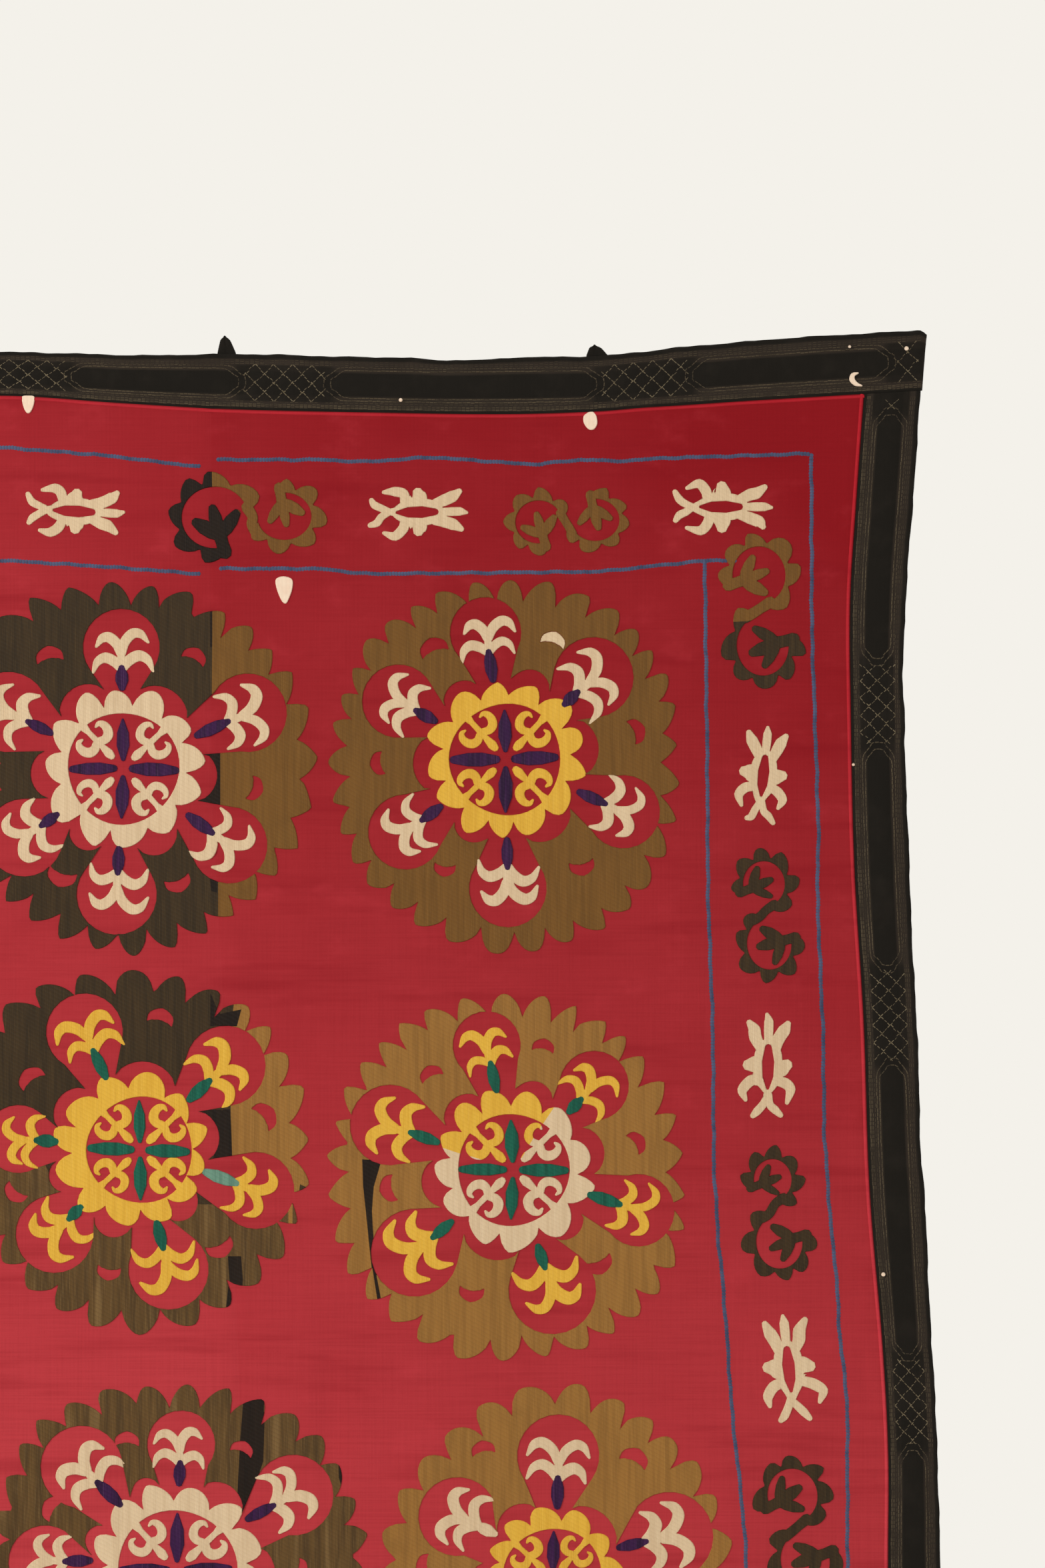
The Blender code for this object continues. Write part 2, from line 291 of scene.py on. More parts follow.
def left_of(run):
    """Directions a quarter turn to the left of others."""
    return np.column_stack([-run[:, 1], run[:, 0]])


def sides_of(line):
    """Unit directions along a line, and to its left."""
    run = unit(np.gradient(line, axis=0))
    return run, left_of(run)


def lengths_along(line):
    """How far along a line each of its points is."""
    return np.concatenate([[0.0], np.cumsum(np.linalg.norm(np.diff(line, axis=0), axis=1))])


def points_at(line, lengths, at):
    """Points that lie given distances along a line."""
    return np.column_stack([np.interp(at, lengths, line[:, k]) for k in (0, 1)])


# Points round the end of a stroke, along it and to its left, in half widths.
ROUND_END = ((0.7071, -0.7071), (1.0, 0.0), (0.7071, 0.7071))


def stroke(points, half_widths, steps=5):
    """The outline of a tapered, round-ended stroke through a few points."""
    line = smooth_line(points, steps)
    knots = np.linspace(0, len(points) - 1, len(line))
    width = np.interp(knots, range(len(points)), half_widths)[:, None]
    run, left = sides_of(line)
    head = [line[-1] + width[-1] * (u * run[-1] + v * left[-1]) for u, v in ROUND_END]
    foot = [line[0] - width[0] * (u * run[0] + v * left[0]) for u, v in ROUND_END]
    return np.vstack([line - width * left, head, (line + width * left)[::-1], foot])


def mirrored(points):
    """Points of the same figure on the other side of its axis."""
    return [(u, -v) for u, v in points]


def polar(radius, degrees):
    angle = np.radians(degrees)
    return np.column_stack([radius * np.cos(angle), radius * np.sin(angle)])


def spoke(radius, degrees):
    """One point at an angle from the centre."""
    return polar(radius, [degrees])[0]


def turned(points, degrees):
    angle = math.radians(degrees)
    return points @ np.array([[math.cos(angle), math.sin(angle)], [-math.sin(angle), math.cos(angle)]])


def placed(outlines, x, z, turn=0.0, size=1.0):
    """Outlines drawn in millimetres about their own centre, turned and set on the cloth, in metres."""
    return [(turned(outline, turn) * size + (x, z)) * MM for outline in outlines]


def uneven_shares(rng, slack, count):
    """The edges of so many parts of a whole, each wider or narrower by up to a slack."""
    edges = np.cumsum(rng.uniform(1 - slack, 1 + slack, count))
    return np.concatenate([[0.0], edges]) / edges[-1]


def tooth_rise(u, peak, squareness, fullness=0.8):
    """The rise of one tooth across its width, from 0 at both roots to 1 at its tip."""
    aside = np.where(u < peak, (peak - u) / peak, (u - peak) / (1 - peak))
    return (1 - aside**squareness) ** fullness


Layer = namedtuple("Layer", "filled outlines")
Zone = namedtuple("Zone", "rosette colour corners")


def zone_in(rosette, colour, *corners):
    """A zone with its corners given in millimetres."""
    return Zone(rosette, colour, np.array(corners, float) * MM)


def within(points, outline):
    """Whether each point is inside an outline, by how often the outline winds round it."""
    x, z = points[:, :1], points[:, 1:]
    x0, z0 = outline[:, 0], outline[:, 1]
    x1, z1 = np.roll(x0, -1), np.roll(z0, -1)
    left = (x1 - x0) * (z - z0) - (x - x0) * (z1 - z0)
    up = (z0 <= z) & (z1 > z) & (left > 0)
    down = (z0 > z) & (z1 <= z) & (left < 0)
    return up.sum(axis=1) != down.sum(axis=1)


def within_any(points, outlines):
    found = np.zeros(len(points), bool)
    for outline in outlines:
        near = ((points >= outline.min(axis=0)) & (points <= outline.max(axis=0))).all(axis=1)
        where = np.flatnonzero(near & ~found)
        found[where] = within(points[where], outline)
    return found


def triangulated(outlines, spacing):
    """Points and triangles that keep every outline, with more points spread between at a spacing."""
    coords, edges = [], []
    for outline in outlines:
        first, count = len(coords), len(outline)
        coords += [Vector(point) for point in outline.tolist()]
        edges += [(first + i, first + (i + 1) % count) for i in range(count)]
    everything = np.vstack(outlines)
    low, high = everything.min(axis=0), everything.max(axis=0)
    for number, z in enumerate(np.arange(low[1], high[1], spacing)):
        start = low[0] + spacing * (0.25 + 0.5 * (number % 2))
        coords += [Vector((x, z)) for x in np.arange(start, high[0], spacing).tolist()]
    found, _, faces, *_ = delaunay_2d_cdt(coords, edges, [], 0, 1e-6, False)
    points = np.array([tuple(point) for point in found])
    triangles = np.array([tuple(face) for face in faces if len(face) == 3])
    a, b, c = points[triangles[:, 0]], points[triangles[:, 1]], points[triangles[:, 2]]
    area = (b[:, 0] - a[:, 0]) * (c[:, 1] - a[:, 1]) - (c[:, 0] - a[:, 0]) * (b[:, 1] - a[:, 1])
    triangles[area < 0] = triangles[area < 0][:, ::-1]
    return points, triangles[np.abs(area) > TINY]


def rim_edges(triangles):
    """The directed edges that only one triangle has, with that triangle on their left."""
    edges = np.vstack([triangles[:, [0, 1]], triangles[:, [1, 2]], triangles[:, [2, 0]]])
    present = {(a, b) for a, b in edges.tolist()}
    return np.array([(a, b) for a, b in edges.tolist() if (b, a) not in present])


def add_piece(name, verts, faces, materials, slot, face_materials=None, smooth=True):
    mesh = bpy.data.meshes.new(name)
    mesh.from_pydata(verts.tolist(), [], [list(face) for face in faces])
    for material in materials:
        mesh.materials.append(material)
    if face_materials is not None:
        mesh.polygons.foreach_set("material_index", np.asarray(face_materials, dtype=np.int32))
    if smooth:
        mesh.shade_smooth()
        mesh.set_sharp_from_angle(angle=math.radians(32))
    mesh.update()
    piece = bpy.data.objects.new(name, mesh)
    bpy.context.scene.collection.objects.link(piece)
    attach(piece, BODY)
    return piece


def embroidery(name, layers, colours, zones=(), height=EMBROIDERY_HEIGHT, base=GROUND_HALF, back=True):
    """Raised embroidery with sloping edges, and the flatter stitches that show behind the cloth.

    Layers are laid in order: a filled one adds its outlines and an unfilled one cuts them out. The
    first colour is the usual one, and each zone has its own colour from a later place in the list.
    """
    outlines = [outline for layer in layers for outline in layer.outlines]
    outlines += [zone.corners for zone in zones]
    points, triangles = triangulated(outlines, EMBROIDERY_GRID)
    middles = points[triangles].mean(axis=1)
    kept = np.zeros(len(triangles), bool)
    for layer in layers:
        kept[within_any(middles, layer.outlines)] = layer.filled
    colour = np.zeros(len(triangles), int)
    for zone in zones:
        colour[within_any(middles, [zone.corners])] = zone.colour
    used, triangles = np.unique(triangles[kept], return_inverse=True)
    triangles = triangles.reshape(-1, 3)
    points, colour = points[used], colour[kept]

    rim = rim_edges(triangles)
    inward = np.zeros_like(points)
    left = left_of(unit(points[rim[:, 1]] - points[rim[:, 0]]))
    np.add.at(inward, rim[:, 0], left)
    np.add.at(inward, rim[:, 1], left)
    inward /= np.maximum(np.linalg.norm(inward, axis=1), 1.0)[:, None]
    top = points + inward * EMBROIDERY_SLOPE
    count = len(points)
    verts = [drape(top[:, 0], top[:, 1], base + height), drape(points[:, 0], points[:, 1], base - SUNK)]
    faces = [triangles, np.column_stack([rim[:, 0] + count, rim[:, 1] + count, rim[:, 1], rim[:, 0]])]
    rim_colour = {}
    for triangle, shade in zip(triangles.tolist(), colour.tolist()):
        for a, b in zip(triangle, triangle[1:] + triangle[:1]):
            rim_colour[a, b] = shade
    shades = [colour, np.array([rim_colour[a, b] for a, b in rim.tolist()])]
    materials = [THREADS[shade] for shade in colours]
    if back:
        verts.append(drape(points[:, 0], points[:, 1], -base - REVERSE_HEIGHT))
        faces.append(triangles[:, ::-1] + 2 * count)
        shades.append(colour + len(colours))
        materials += [REVERSES[shade] for shade in colours]
    rows = [face for block in faces for face in block.tolist()]
    return add_piece(name, np.vstack(verts), rows, materials, SLOTS[colours[0]], np.concatenate(shades))


# Materials, made of nodes.


def linear(red, green, blue):
    """A colour given as 0 to 255 values on screen, as the shader's own numbers."""
    values = []
    for value in (red, green, blue):
        share = value / 255
        values.append(share / 12.92 if share <= 0.04045 else ((share + 0.055) / 1.055) ** 2.4)
    return (*values, 1.0)


class Nodes:
    """A material's nodes, with short calls to add and join them."""

    def __init__(self, name, roughness, sheen=0.0, specular=0.3):
        self.material = bpy.data.materials.new(name)
        self.material.use_nodes = True
        self.tree = self.material.node_tree
        self.shader = self.tree.nodes["Principled BSDF"]
        self.set(self.shader, {"Roughness": roughness, "Specular IOR Level": specular})
        self.set(self.shader, {"Sheen Weight": sheen, "Sheen Roughness": 0.5})
        self.place = self.tree.nodes.new("ShaderNodeTexCoord").outputs["Object"]

    def set(self, node, inputs):
        """Gives each input of a node a plain value, or joins another node's output to it."""
        for name, value in inputs.items():
            if isinstance(value, bpy.types.NodeSocket):
                self.tree.links.new(value, node.inputs[name])
            else:
                node.inputs[name].default_value = value

    def scaled(self, x, y, z, turn=0.0):
        node = self.tree.nodes.new("ShaderNodeMapping")
        rotation = (0.0, math.radians(turn), 0.0)
        self.set(node, {"Scale": (x, y, z), "Rotation": rotation, "Vector": self.place})
        return node.outputs["Vector"]

    def noise(self, x, y, z, detail=3.0):
        """Noise with so many blotches a metre along each axis."""
        node = self.tree.nodes.new("ShaderNodeTexNoise")
        self.set(node, {"Scale": 1.0, "Detail": detail, "Roughness": 0.6, "Vector": self.scaled(x, y, z)})
        return node.outputs["Fac"]

    def ribs(self, pitch, turn=0.0, wander=0.0):
        """Parallel ribs with a pitch in metres. A turn of 0 makes them upright."""
        node = self.tree.nodes.new("ShaderNodeTexWave")
        node.wave_type = "BANDS"
        node.bands_direction = "X"
        count = 2 * math.pi / 20 / pitch
        place = self.scaled(count, count, count, turn)
        self.set(node, {"Scale": 1.0, "Distortion": wander, "Vector": place})
        return node.outputs["Fac"]

    def weave(self):
        """Ribs both ways, as in plain cotton."""
        return self.sum(self.ribs(WEAVE_PITCH), self.ribs(WEAVE_PITCH, 90.0))

    def sum(self, a, b, share_b=1.0):
        """b times its share, plus a."""
        node = self.tree.nodes.new("ShaderNodeMath")
        node.operation = "MULTIPLY_ADD"
        self.set(node, {0: b, 1: share_b, 2: a})
        return node.outputs[0]

    def spread(self, value, low, high, to_low=0.0, to_high=1.0, kind="SMOOTHSTEP"):
        node = self.tree.nodes.new("ShaderNodeMapRange")
        node.interpolation_type = kind
        self.set(node, {"Value": value, "From Min": low, "From Max": high})
        self.set(node, {"To Min": to_low, "To Max": to_high})
        return node.outputs["Result"]

    def mix(self, share, a, b):
        node = self.tree.nodes.new("ShaderNodeMix")
        node.data_type = "RGBA"
        node.clamp_factor = True
        self.set(node, {0: share, 6: a, 7: b})
        return node.outputs[2]

    def axis(self, name):
        node = self.tree.nodes.new("ShaderNodeSeparateXYZ")
        self.set(node, {0: self.place})
        return node.outputs[name]

    def point_value(self, name):
        node = self.tree.nodes.new("ShaderNodeAttribute")
        node.attribute_name = name
        return node.outputs["Fac"]

    def colour(self, value):
        self.set(self.shader, {"Base Color": value})

    def bump(self, height, distance, strength=1.0):
        node = self.tree.nodes.new("ShaderNodeBump")
        self.set(node, {"Distance": distance, "Strength": strength, "Height": height})
        self.set(self.shader, {"Normal": node.outputs["Normal"]})


WEAVE_PITCH = 0.0009
THREAD_PITCH = 0.0012
COUCHING_PITCH = 0.0042
TWIST_PITCH = 0.0009


def red_with_painted_light(nodes, deep, rose):
    """Painted light: deep red at the upper right, in painted shade, growing lighter towards the lower left
    where more light falls, with soft blotches.
    """
    # fade is the share of painted light, larger to the left and lower down.
    fade = nodes.sum(nodes.sum(0.0, nodes.axis("X"), -0.20), nodes.axis("Z"), -0.62)
    fade = nodes.sum(fade, nodes.noise(3.0, 3.0, 3.0, 4.0), 0.50)
    return nodes.mix(nodes.spread(fade, 0.16, 1.12, kind="LINEAR"), deep, rose)


def red_cotton(name, deep, rose):
    nodes = Nodes(name, roughness=0.9, sheen=0.01, specular=0.04)
    base = red_with_painted_light(nodes, linear(*deep), linear(*rose))
    weft = nodes.noise(10.0, 10.0, 520.0, 2.0)
    warp = nodes.noise(520.0, 10.0, 10.0, 2.0)
    slubs = nodes.sum(weft, warp, 0.6)
    base = nodes.mix(nodes.spread(slubs, 0.6, 1.2, 0.0, 0.20), base, linear(118, 18, 24))
    soft_streaks = nodes.noise(3.0, 3.0, 30.0, 3.0)
    base = nodes.mix(nodes.spread(soft_streaks, 0.50, 0.74, 0.0, 0.34), base, linear(128, 18, 28))
    blotches = nodes.noise(14.0, 14.0, 22.0, 5.0)
    base = nodes.mix(nodes.spread(blotches, 0.52, 0.82, 0.0, 0.22), base, linear(206, 66, 76))
    nodes.colour(base)
    nodes.bump(nodes.sum(nodes.sum(0.0, nodes.weave(), 0.35), slubs, 0.9), 0.0005, 0.5)
    return nodes.material


def thread(name, main, dark, pale, streaks=0.6, bands=0.0):
    """Laid silk thread held by small slanted stitches, with upright streaks of dye."""
    nodes = Nodes(name, roughness=0.58, sheen=0.01, specular=0.12)
    long_streak = nodes.noise(170.0, 20.0, 7.0, 3.0)
    fine_streak = nodes.noise(900.0, 60.0, 26.0, 2.0)
    base = nodes.mix(nodes.spread(long_streak, 0.38, 0.66, 0.0, streaks), linear(*main), linear(*dark))
    base = nodes.mix(nodes.spread(fine_streak, 0.50, 0.74, 0.0, 0.55 * streaks), base, linear(*pale))
    if bands:
        broad_streak = nodes.noise(58.0, 10.0, 3.0, 2.0)
        base = nodes.mix(nodes.spread(broad_streak, 0.56, 0.68, 0.0, bands), base, linear(*pale))
    patches = nodes.noise(22.0, 22.0, 22.0, 4.0)
    base = nodes.mix(nodes.spread(patches, 0.52, 0.80, 0.0, 0.35), base, linear(*dark))
    ribs = nodes.ribs(THREAD_PITCH, 0.0, 1.0)
    couching = nodes.ribs(COUCHING_PITCH, 62.0, 1.5)
    base = nodes.mix(nodes.spread(couching, 0.75, 1.0, 0.0, 0.22), base, linear(*dark))
    nodes.colour(base)
    nodes.bump(nodes.sum(nodes.sum(ribs, couching, 0.8), fine_streak, 0.6), 0.0006, 0.6)
    return nodes.material


def reverse_stitches(name, main):
    """The back of the embroidery: short stitches with red cotton between them."""
    nodes = Nodes(name, roughness=0.8, sheen=0.01, specular=0.08)
    # The red between the stitches has the same painted light, lighter towards the lower left.
    red = red_with_painted_light(nodes, linear(140, 28, 34), linear(188, 60, 68))
    flecks = nodes.noise(420.0, 60.0, 110.0, 2.0)
    nodes.colour(nodes.mix(nodes.spread(flecks, 0.46, 0.56, 0.12, 0.85), red, linear(*main)))
    nodes.bump(flecks, 0.0006, 0.6)
    return nodes.material


def black_cotton():
    """Black cotton, browner where the quilting stitches are close together."""
    nodes = Nodes("black_quilted_cloth", roughness=0.88, sheen=0.01, specular=0.08)
    worn = nodes.noise(30.0, 30.0, 30.0, 5.0)
    base = nodes.mix(nodes.spread(worn, 0.45, 0.75, 0.0, 0.35), linear(29, 26, 22), linear(42, 37, 32))
    brown = nodes.mix(worn, linear(40, 34, 29), linear(56, 48, 41))
    base = nodes.mix(nodes.point_value("stitched"), base, brown)
    nodes.colour(base)
    slubs = nodes.sum(nodes.noise(20.0, 20.0, 500.0, 2.0), nodes.noise(500.0, 20.0, 20.0, 2.0))
    nodes.bump(nodes.sum(nodes.sum(0.0, nodes.weave(), 0.35), slubs, 0.8), 0.0005, 0.6)
    return nodes.material


def cotton_thread(name, main, dark):
    """Twisted thread of the quilting and lines."""
    nodes = Nodes(name, roughness=0.78, sheen=0.01, specular=0.08)
    patches = nodes.noise(60.0, 60.0, 60.0, 4.0)
    base = nodes.mix(nodes.spread(patches, 0.35, 0.70), linear(*main), linear(*dark))
    nodes.colour(base)
    nodes.bump(nodes.ribs(TWIST_PITCH, 40.0), 0.0003, 0.5)
    return nodes.material


def pale_patch():
    nodes = Nodes("cream_patch_cloth", roughness=0.88, sheen=0.03, specular=0.12)
    patches = nodes.noise(150.0, 150.0, 150.0, 3.0)
    nodes.colour(nodes.mix(patches, linear(250, 232, 208), linear(238, 204, 178)))
    nodes.bump(nodes.ribs(WEAVE_PITCH), 0.0004, 0.5)
    return nodes.material


ThreadColour = namedtuple("ThreadColour", "slot main dark pale streaks bands", defaults=(0.0,))
THREAD_COLOURS = {
    "light_olive": ThreadColour("olive_thread", (122, 84, 37), (98, 67, 30), (142, 104, 52), 0.5),
    "gold_olive": ThreadColour("olive_thread", (158, 112, 54), (126, 88, 42), (176, 132, 72), 0.5),
    "mid_olive": ThreadColour("olive_thread", (100, 74, 40), (70, 52, 31), (140, 110, 68), 0.7, 0.55),
    "dark_olive": ThreadColour("dark_thread", (64, 49, 30), (44, 35, 24), (92, 72, 42), 0.6),
    "black_brown": ThreadColour("dark_thread", (36, 26, 19), (22, 17, 14), (56, 42, 30), 0.5),
    "cream": ThreadColour("cream_thread", (226, 199, 162), (204, 174, 138), (240, 220, 188), 0.5),
    "yellow": ThreadColour("yellow_thread", (231, 181, 66), (210, 155, 48), (242, 200, 98), 0.5),
    "purple": ThreadColour("purple_thread", (60, 26, 70), (34, 16, 42), (92, 60, 96), 0.8),
    "green": ThreadColour("green_thread", (26, 98, 78), (16, 64, 52), (52, 128, 104), 0.6),
    "pale_green": ThreadColour("green_thread", (112, 152, 132), (82, 118, 102), (146, 180, 160), 0.6),
}
SLOTS = {"patch": "cream_cotton"}
THREADS = {"patch": pale_patch()}
REVERSES = {}
for thread_name, thread_colour in THREAD_COLOURS.items():
    SLOTS[thread_name] = thread_colour.slot
    THREADS[thread_name] = thread(thread_name + "_thread", *thread_colour[1:])
    REVERSES[thread_name] = reverse_stitches(thread_name + "_reverse", thread_colour.main)
# Each red goes from its colour in painted shade at the upper right to a painted lit colour at the lower
# left. The left and middle panels take a lighter copy, painted light, not wear.
RED_COTTON = red_cotton("red_cotton_cloth", (140, 24, 31), (188, 60, 67))
RED_COTTON_LIT = red_cotton("lit_red_cotton_cloth", (146, 28, 35), (192, 63, 70))
# The fold beside the binding is lighter along its top: a painted highlight where the light catches the
# ridge.
RED_RIDGE_HIGHLIGHT = red_cotton("red_fold", (178, 36, 46), (208, 70, 80))
BLACK_COTTON = black_cotton()
QUILTING_THREAD = cotton_thread("quilting_thread", (128, 115, 92), (96, 85, 66))
DULL_THREAD = cotton_thread("dull_quilting_thread", (92, 81, 64), (62, 54, 44))
BLUE_THREAD = cotton_thread("blue_chain_thread", (84, 92, 120), (64, 72, 98))


# The ground and the binding.


def sheet_mesh(x, z, front, back):
    """Vertices and faces of a closed sheet, from grids of its places and of both faces' lifts."""
    rows, columns = x.shape
    count = rows * columns
    verts = np.vstack([drape(x.ravel(), z.ravel(), lift.ravel()) for lift in (front, back)])
    index = np.arange(count).reshape(rows, columns)
    corners = (index[:-1, :-1], index[1:, :-1], index[1:, 1:], index[:-1, 1:])
    quads = np.stack(corners, axis=-1).reshape(-1, 4)
    ring = np.concatenate([index[0, :-1], index[:-1, -1], index[-1, :0:-1], index[:0:-1, 0]])
    following = np.roll(ring, -1)
    walls = np.column_stack([ring, following, following + count, ring + count])
    return verts, np.vstack([quads, quads[:, ::-1] + count, walls]).tolist()


def surface_of(x, z):
    """A grid of points in the middle of the cloth's thickness."""
    return drape(x.ravel(), z.ravel(), np.zeros(x.size)).reshape(*x.shape, 3)


def flat_size(x, z):
    """Width and length of a sheet before it was hung, from its lines of points."""
    surface = surface_of(x, z)
    across = np.linalg.norm(np.diff(surface, axis=1), axis=2).sum(axis=1).max()
    down = np.linalg.norm(np.diff(surface, axis=0), axis=2).sum(axis=0).max()
    return float(across), float(down)


def flat_area(x, z):
    surface = surface_of(x, z)
    first = np.cross(surface[1:, :-1] - surface[:-1, :-1], surface[:-1, 1:] - surface[:-1, :-1])
    second = np.cross(surface[1:, 1:] - surface[1:, :-1], surface[1:, 1:] - surface[:-1, 1:])
    return float((np.linalg.norm(first, axis=2).sum() + np.linalg.norm(second, axis=2).sum()) / 2)


PANEL_DROP = 2.15
NARROW_WIDTH, FULL_WIDTH = 0.24, 0.75
SEAM_PULL = 0.0007
SEAM_REACH = 0.006


def panel(name, first_line, node, cloth):
    """One length of red cotton, drawn down a little along the front of its sewn edges."""
    width, drop = FULL_WIDTH if first_line > 1 else NARROW_WIDTH, PANEL_DROP
    columns = first_line + np.linspace(0, 1, round(width / PANEL_GRID) + 1)
    rows = 1 + np.linspace(0, 1, round(drop / PANEL_GRID) + 1)
    x, z = crossing(*np.meshgrid(columns, rows))
    share = columns - first_line
    edge = np.minimum(share, 1 - share) * width
    pull = -SEAM_PULL * np.exp(-((edge / SEAM_REACH) ** 2))
    front = np.broadcast_to(GROUND_HALF + pull, x.shape)
    back = np.full(x.shape, -GROUND_HALF)
    piece = add_piece(name, *sheet_mesh(x, z, front, back), [cloth], "red_cotton")
    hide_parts(node)
    flat_size(x, z)
    flat_area(x, z)


# Shares of a strip's width, from its outer edge at 0 to its seam at 1.
OUTER_ROLL = 0.10
LINES_OUTSIDE = (0.115, 0.150, 0.185)
OUTER_TRACK = (0.218, 0.805)
INNER_TRACK = (0.270, 0.755)
MIDDLE_START, MIDDLE_END = 0.290, 0.735
LINES_INSIDE = (0.846,)
BEIGE_LINES = (0.890, 0.915, 0.940)
INNER_FOLD = 0.955
CHANNEL_SHARE = 0.035
LATTICE_START, LATTICE_END = 0.190, 0.835

# Counts across a strip, and distances along it in metres.
DIAMONDS_ACROSS = 2
STRIP_END = 0.006
LATTICE_STEP = 0.0036
PAD_STEP = 0.0100
TRACK_GAP = 0.006
LATTICE_INSET = 0.003
ACROSS_CELLS = 28

Strip = namedtuple("Strip", "name node level outer inner pads start end width")
STRIPS = (
    Strip("binding_top_cloth", "binding_top", True, 0, 1, TOP_PADS, -0.905, 0.905, 0.066),
    Strip("binding_bottom_cloth", "binding_bottom", True, 3, 2, BOTTOM_PADS, -0.842, 0.922, 0.064),
    Strip("binding_left_cloth", "binding_left", False, 0, 1, LEFT_PADS, 0.041, 2.188, 0.062),
    Strip("binding_right_cloth", "binding_right", False, 5, 4, RIGHT_PADS, 0.041, 2.208, 0.060),
)


def strip_point(strip, share, along):
    """(x, z) on a strip, from the share of its width and the distance along it."""
    position = strip.outer + (strip.inner - strip.outer) * np.asarray(share, float)
    if strip.level:
        x = np.asarray(along, float)
        return x, between(LEVEL_TABLES, position, x)
    z = -np.asarray(along, float)
    return between(PLUMB_TABLES, position, z), z


def pad_share(pads, along):
    """1 on a pad, 0 in the crossed stitching between pads, with soft ends."""
    share = np.zeros(np.shape(along))
    for pad in pads:
        inside = np.minimum(along - pad.start, pad.end - along)
        share = np.maximum(share, np.clip(inside / PAD_END, 0.0, 1.0))
    return np.sin(share * np.pi / 2)


def lattice_pitch(strip):
    """The length of a diamond along a strip, such that whole diamonds fit across it."""
    return (LATTICE_END - LATTICE_START) * strip.width / DIAMONDS_ACROSS


def quilted(strip, share, along):
    """How far the quilting stands up from the plain face of a strip."""
    share, along = np.broadcast_arrays(np.asarray(share, float), np.asarray(along, float))
    roll = np.where(share < OUTER_ROLL, np.sin(np.pi * share / OUTER_ROLL), 0.0)
    bumps = 1 + 0.35 * np.sin(along * 126.0) + 0.25 * np.sin(along * 57.0 + 1.0)
    fold = np.where(share > INNER_FOLD, np.sin(np.pi * (share - INNER_FOLD) / (1 - INNER_FOLD)), 0.0)
    banded = (share > OUTER_ROLL) & (share < MIDDLE_START) | (share > MIDDLE_END) & (share < INNER_FOLD)
    wave = np.cos(2 * np.pi * (share - LINES_OUTSIDE[0]) / CHANNEL_SHARE)
    channel = np.where(banded, 0.5 - 0.5 * wave, 0.0)
    middle = np.clip((share - MIDDLE_START) / (MIDDLE_END - MIDDLE_START), 0.0, 1.0)
    on_pad = pad_share(strip.pads, along)
    puff = np.sin(np.pi * middle) ** 0.6 * on_pad
    across = (share - LATTICE_START) * strip.width
    pitch = lattice_pitch(strip)
    diamond = np.abs(np.sin(np.pi * (along + across) / pitch))
    diamond = diamond * np.abs(np.sin(np.pi * (along - across) / pitch))
    in_lattice = (share > LATTICE_START) & (share < LATTICE_END)
    lattice = np.where(in_lattice, diamond, 0.0) * (1 - on_pad)
    height = ROLL_HEIGHT * roll * bumps + FOLD_HEIGHT * fold + CHANNEL_HEIGHT * channel * on_pad
    return height + PAD_HEIGHT * puff + LATTICE_HEIGHT * lattice


EdgeDip = namedtuple("EdgeDip", "start end depth ease", defaults=(0.012,))
EDGE_DIPS = {
    "binding_top": (
        EdgeDip(0.335, 0.424, 0.0030),
        EdgeDip(-0.520, -0.430, 0.0022),
        EdgeDip(0.9025, 1.0, 0.0075, 0.0040),
    ),
    "binding_right": (EdgeDip(0.315, 0.390, 0.0022), EdgeDip(0.850, 0.930, 0.0016)),
    "binding_left": (EdgeDip(0.620, 0.700, 0.0020), EdgeDip(1.350, 1.440, 0.0024)),
    "binding_bottom": (EdgeDip(-0.280, -0.180, 0.0022), EdgeDip(0.480, 0.560, 0.0020)),
}


def edge_wander(strip, along):
    """How far the outer edge of a strip lies inside its measured line."""
    wander = 0.0004 * (2 + np.sin(along * 84.0 + 2.0) + np.sin(along * 31.0))
    wander = wander + 0.0004 * (1 + np.sin(along * 205.0) * np.sin(along * 47.0))
    for dip in EDGE_DIPS[strip.node]:
        inside = np.minimum(along - dip.start, dip.end - along) / dip.ease
        wander = wander + dip.depth * (0.5 + 0.5 * np.tanh(inside))
    return wander


def strip_steps(strip):
    """Places along a strip, close together in the crossed stitching."""
    steps = [strip.start]
    while steps[-1] < strip.end - LATTICE_STEP:
        plain = pad_share(strip.pads, steps[-1] + LATTICE_STEP) > 0.99
        steps.append(min(steps[-1] + (PAD_STEP if plain else LATTICE_STEP), strip.end))
    return np.array(steps)


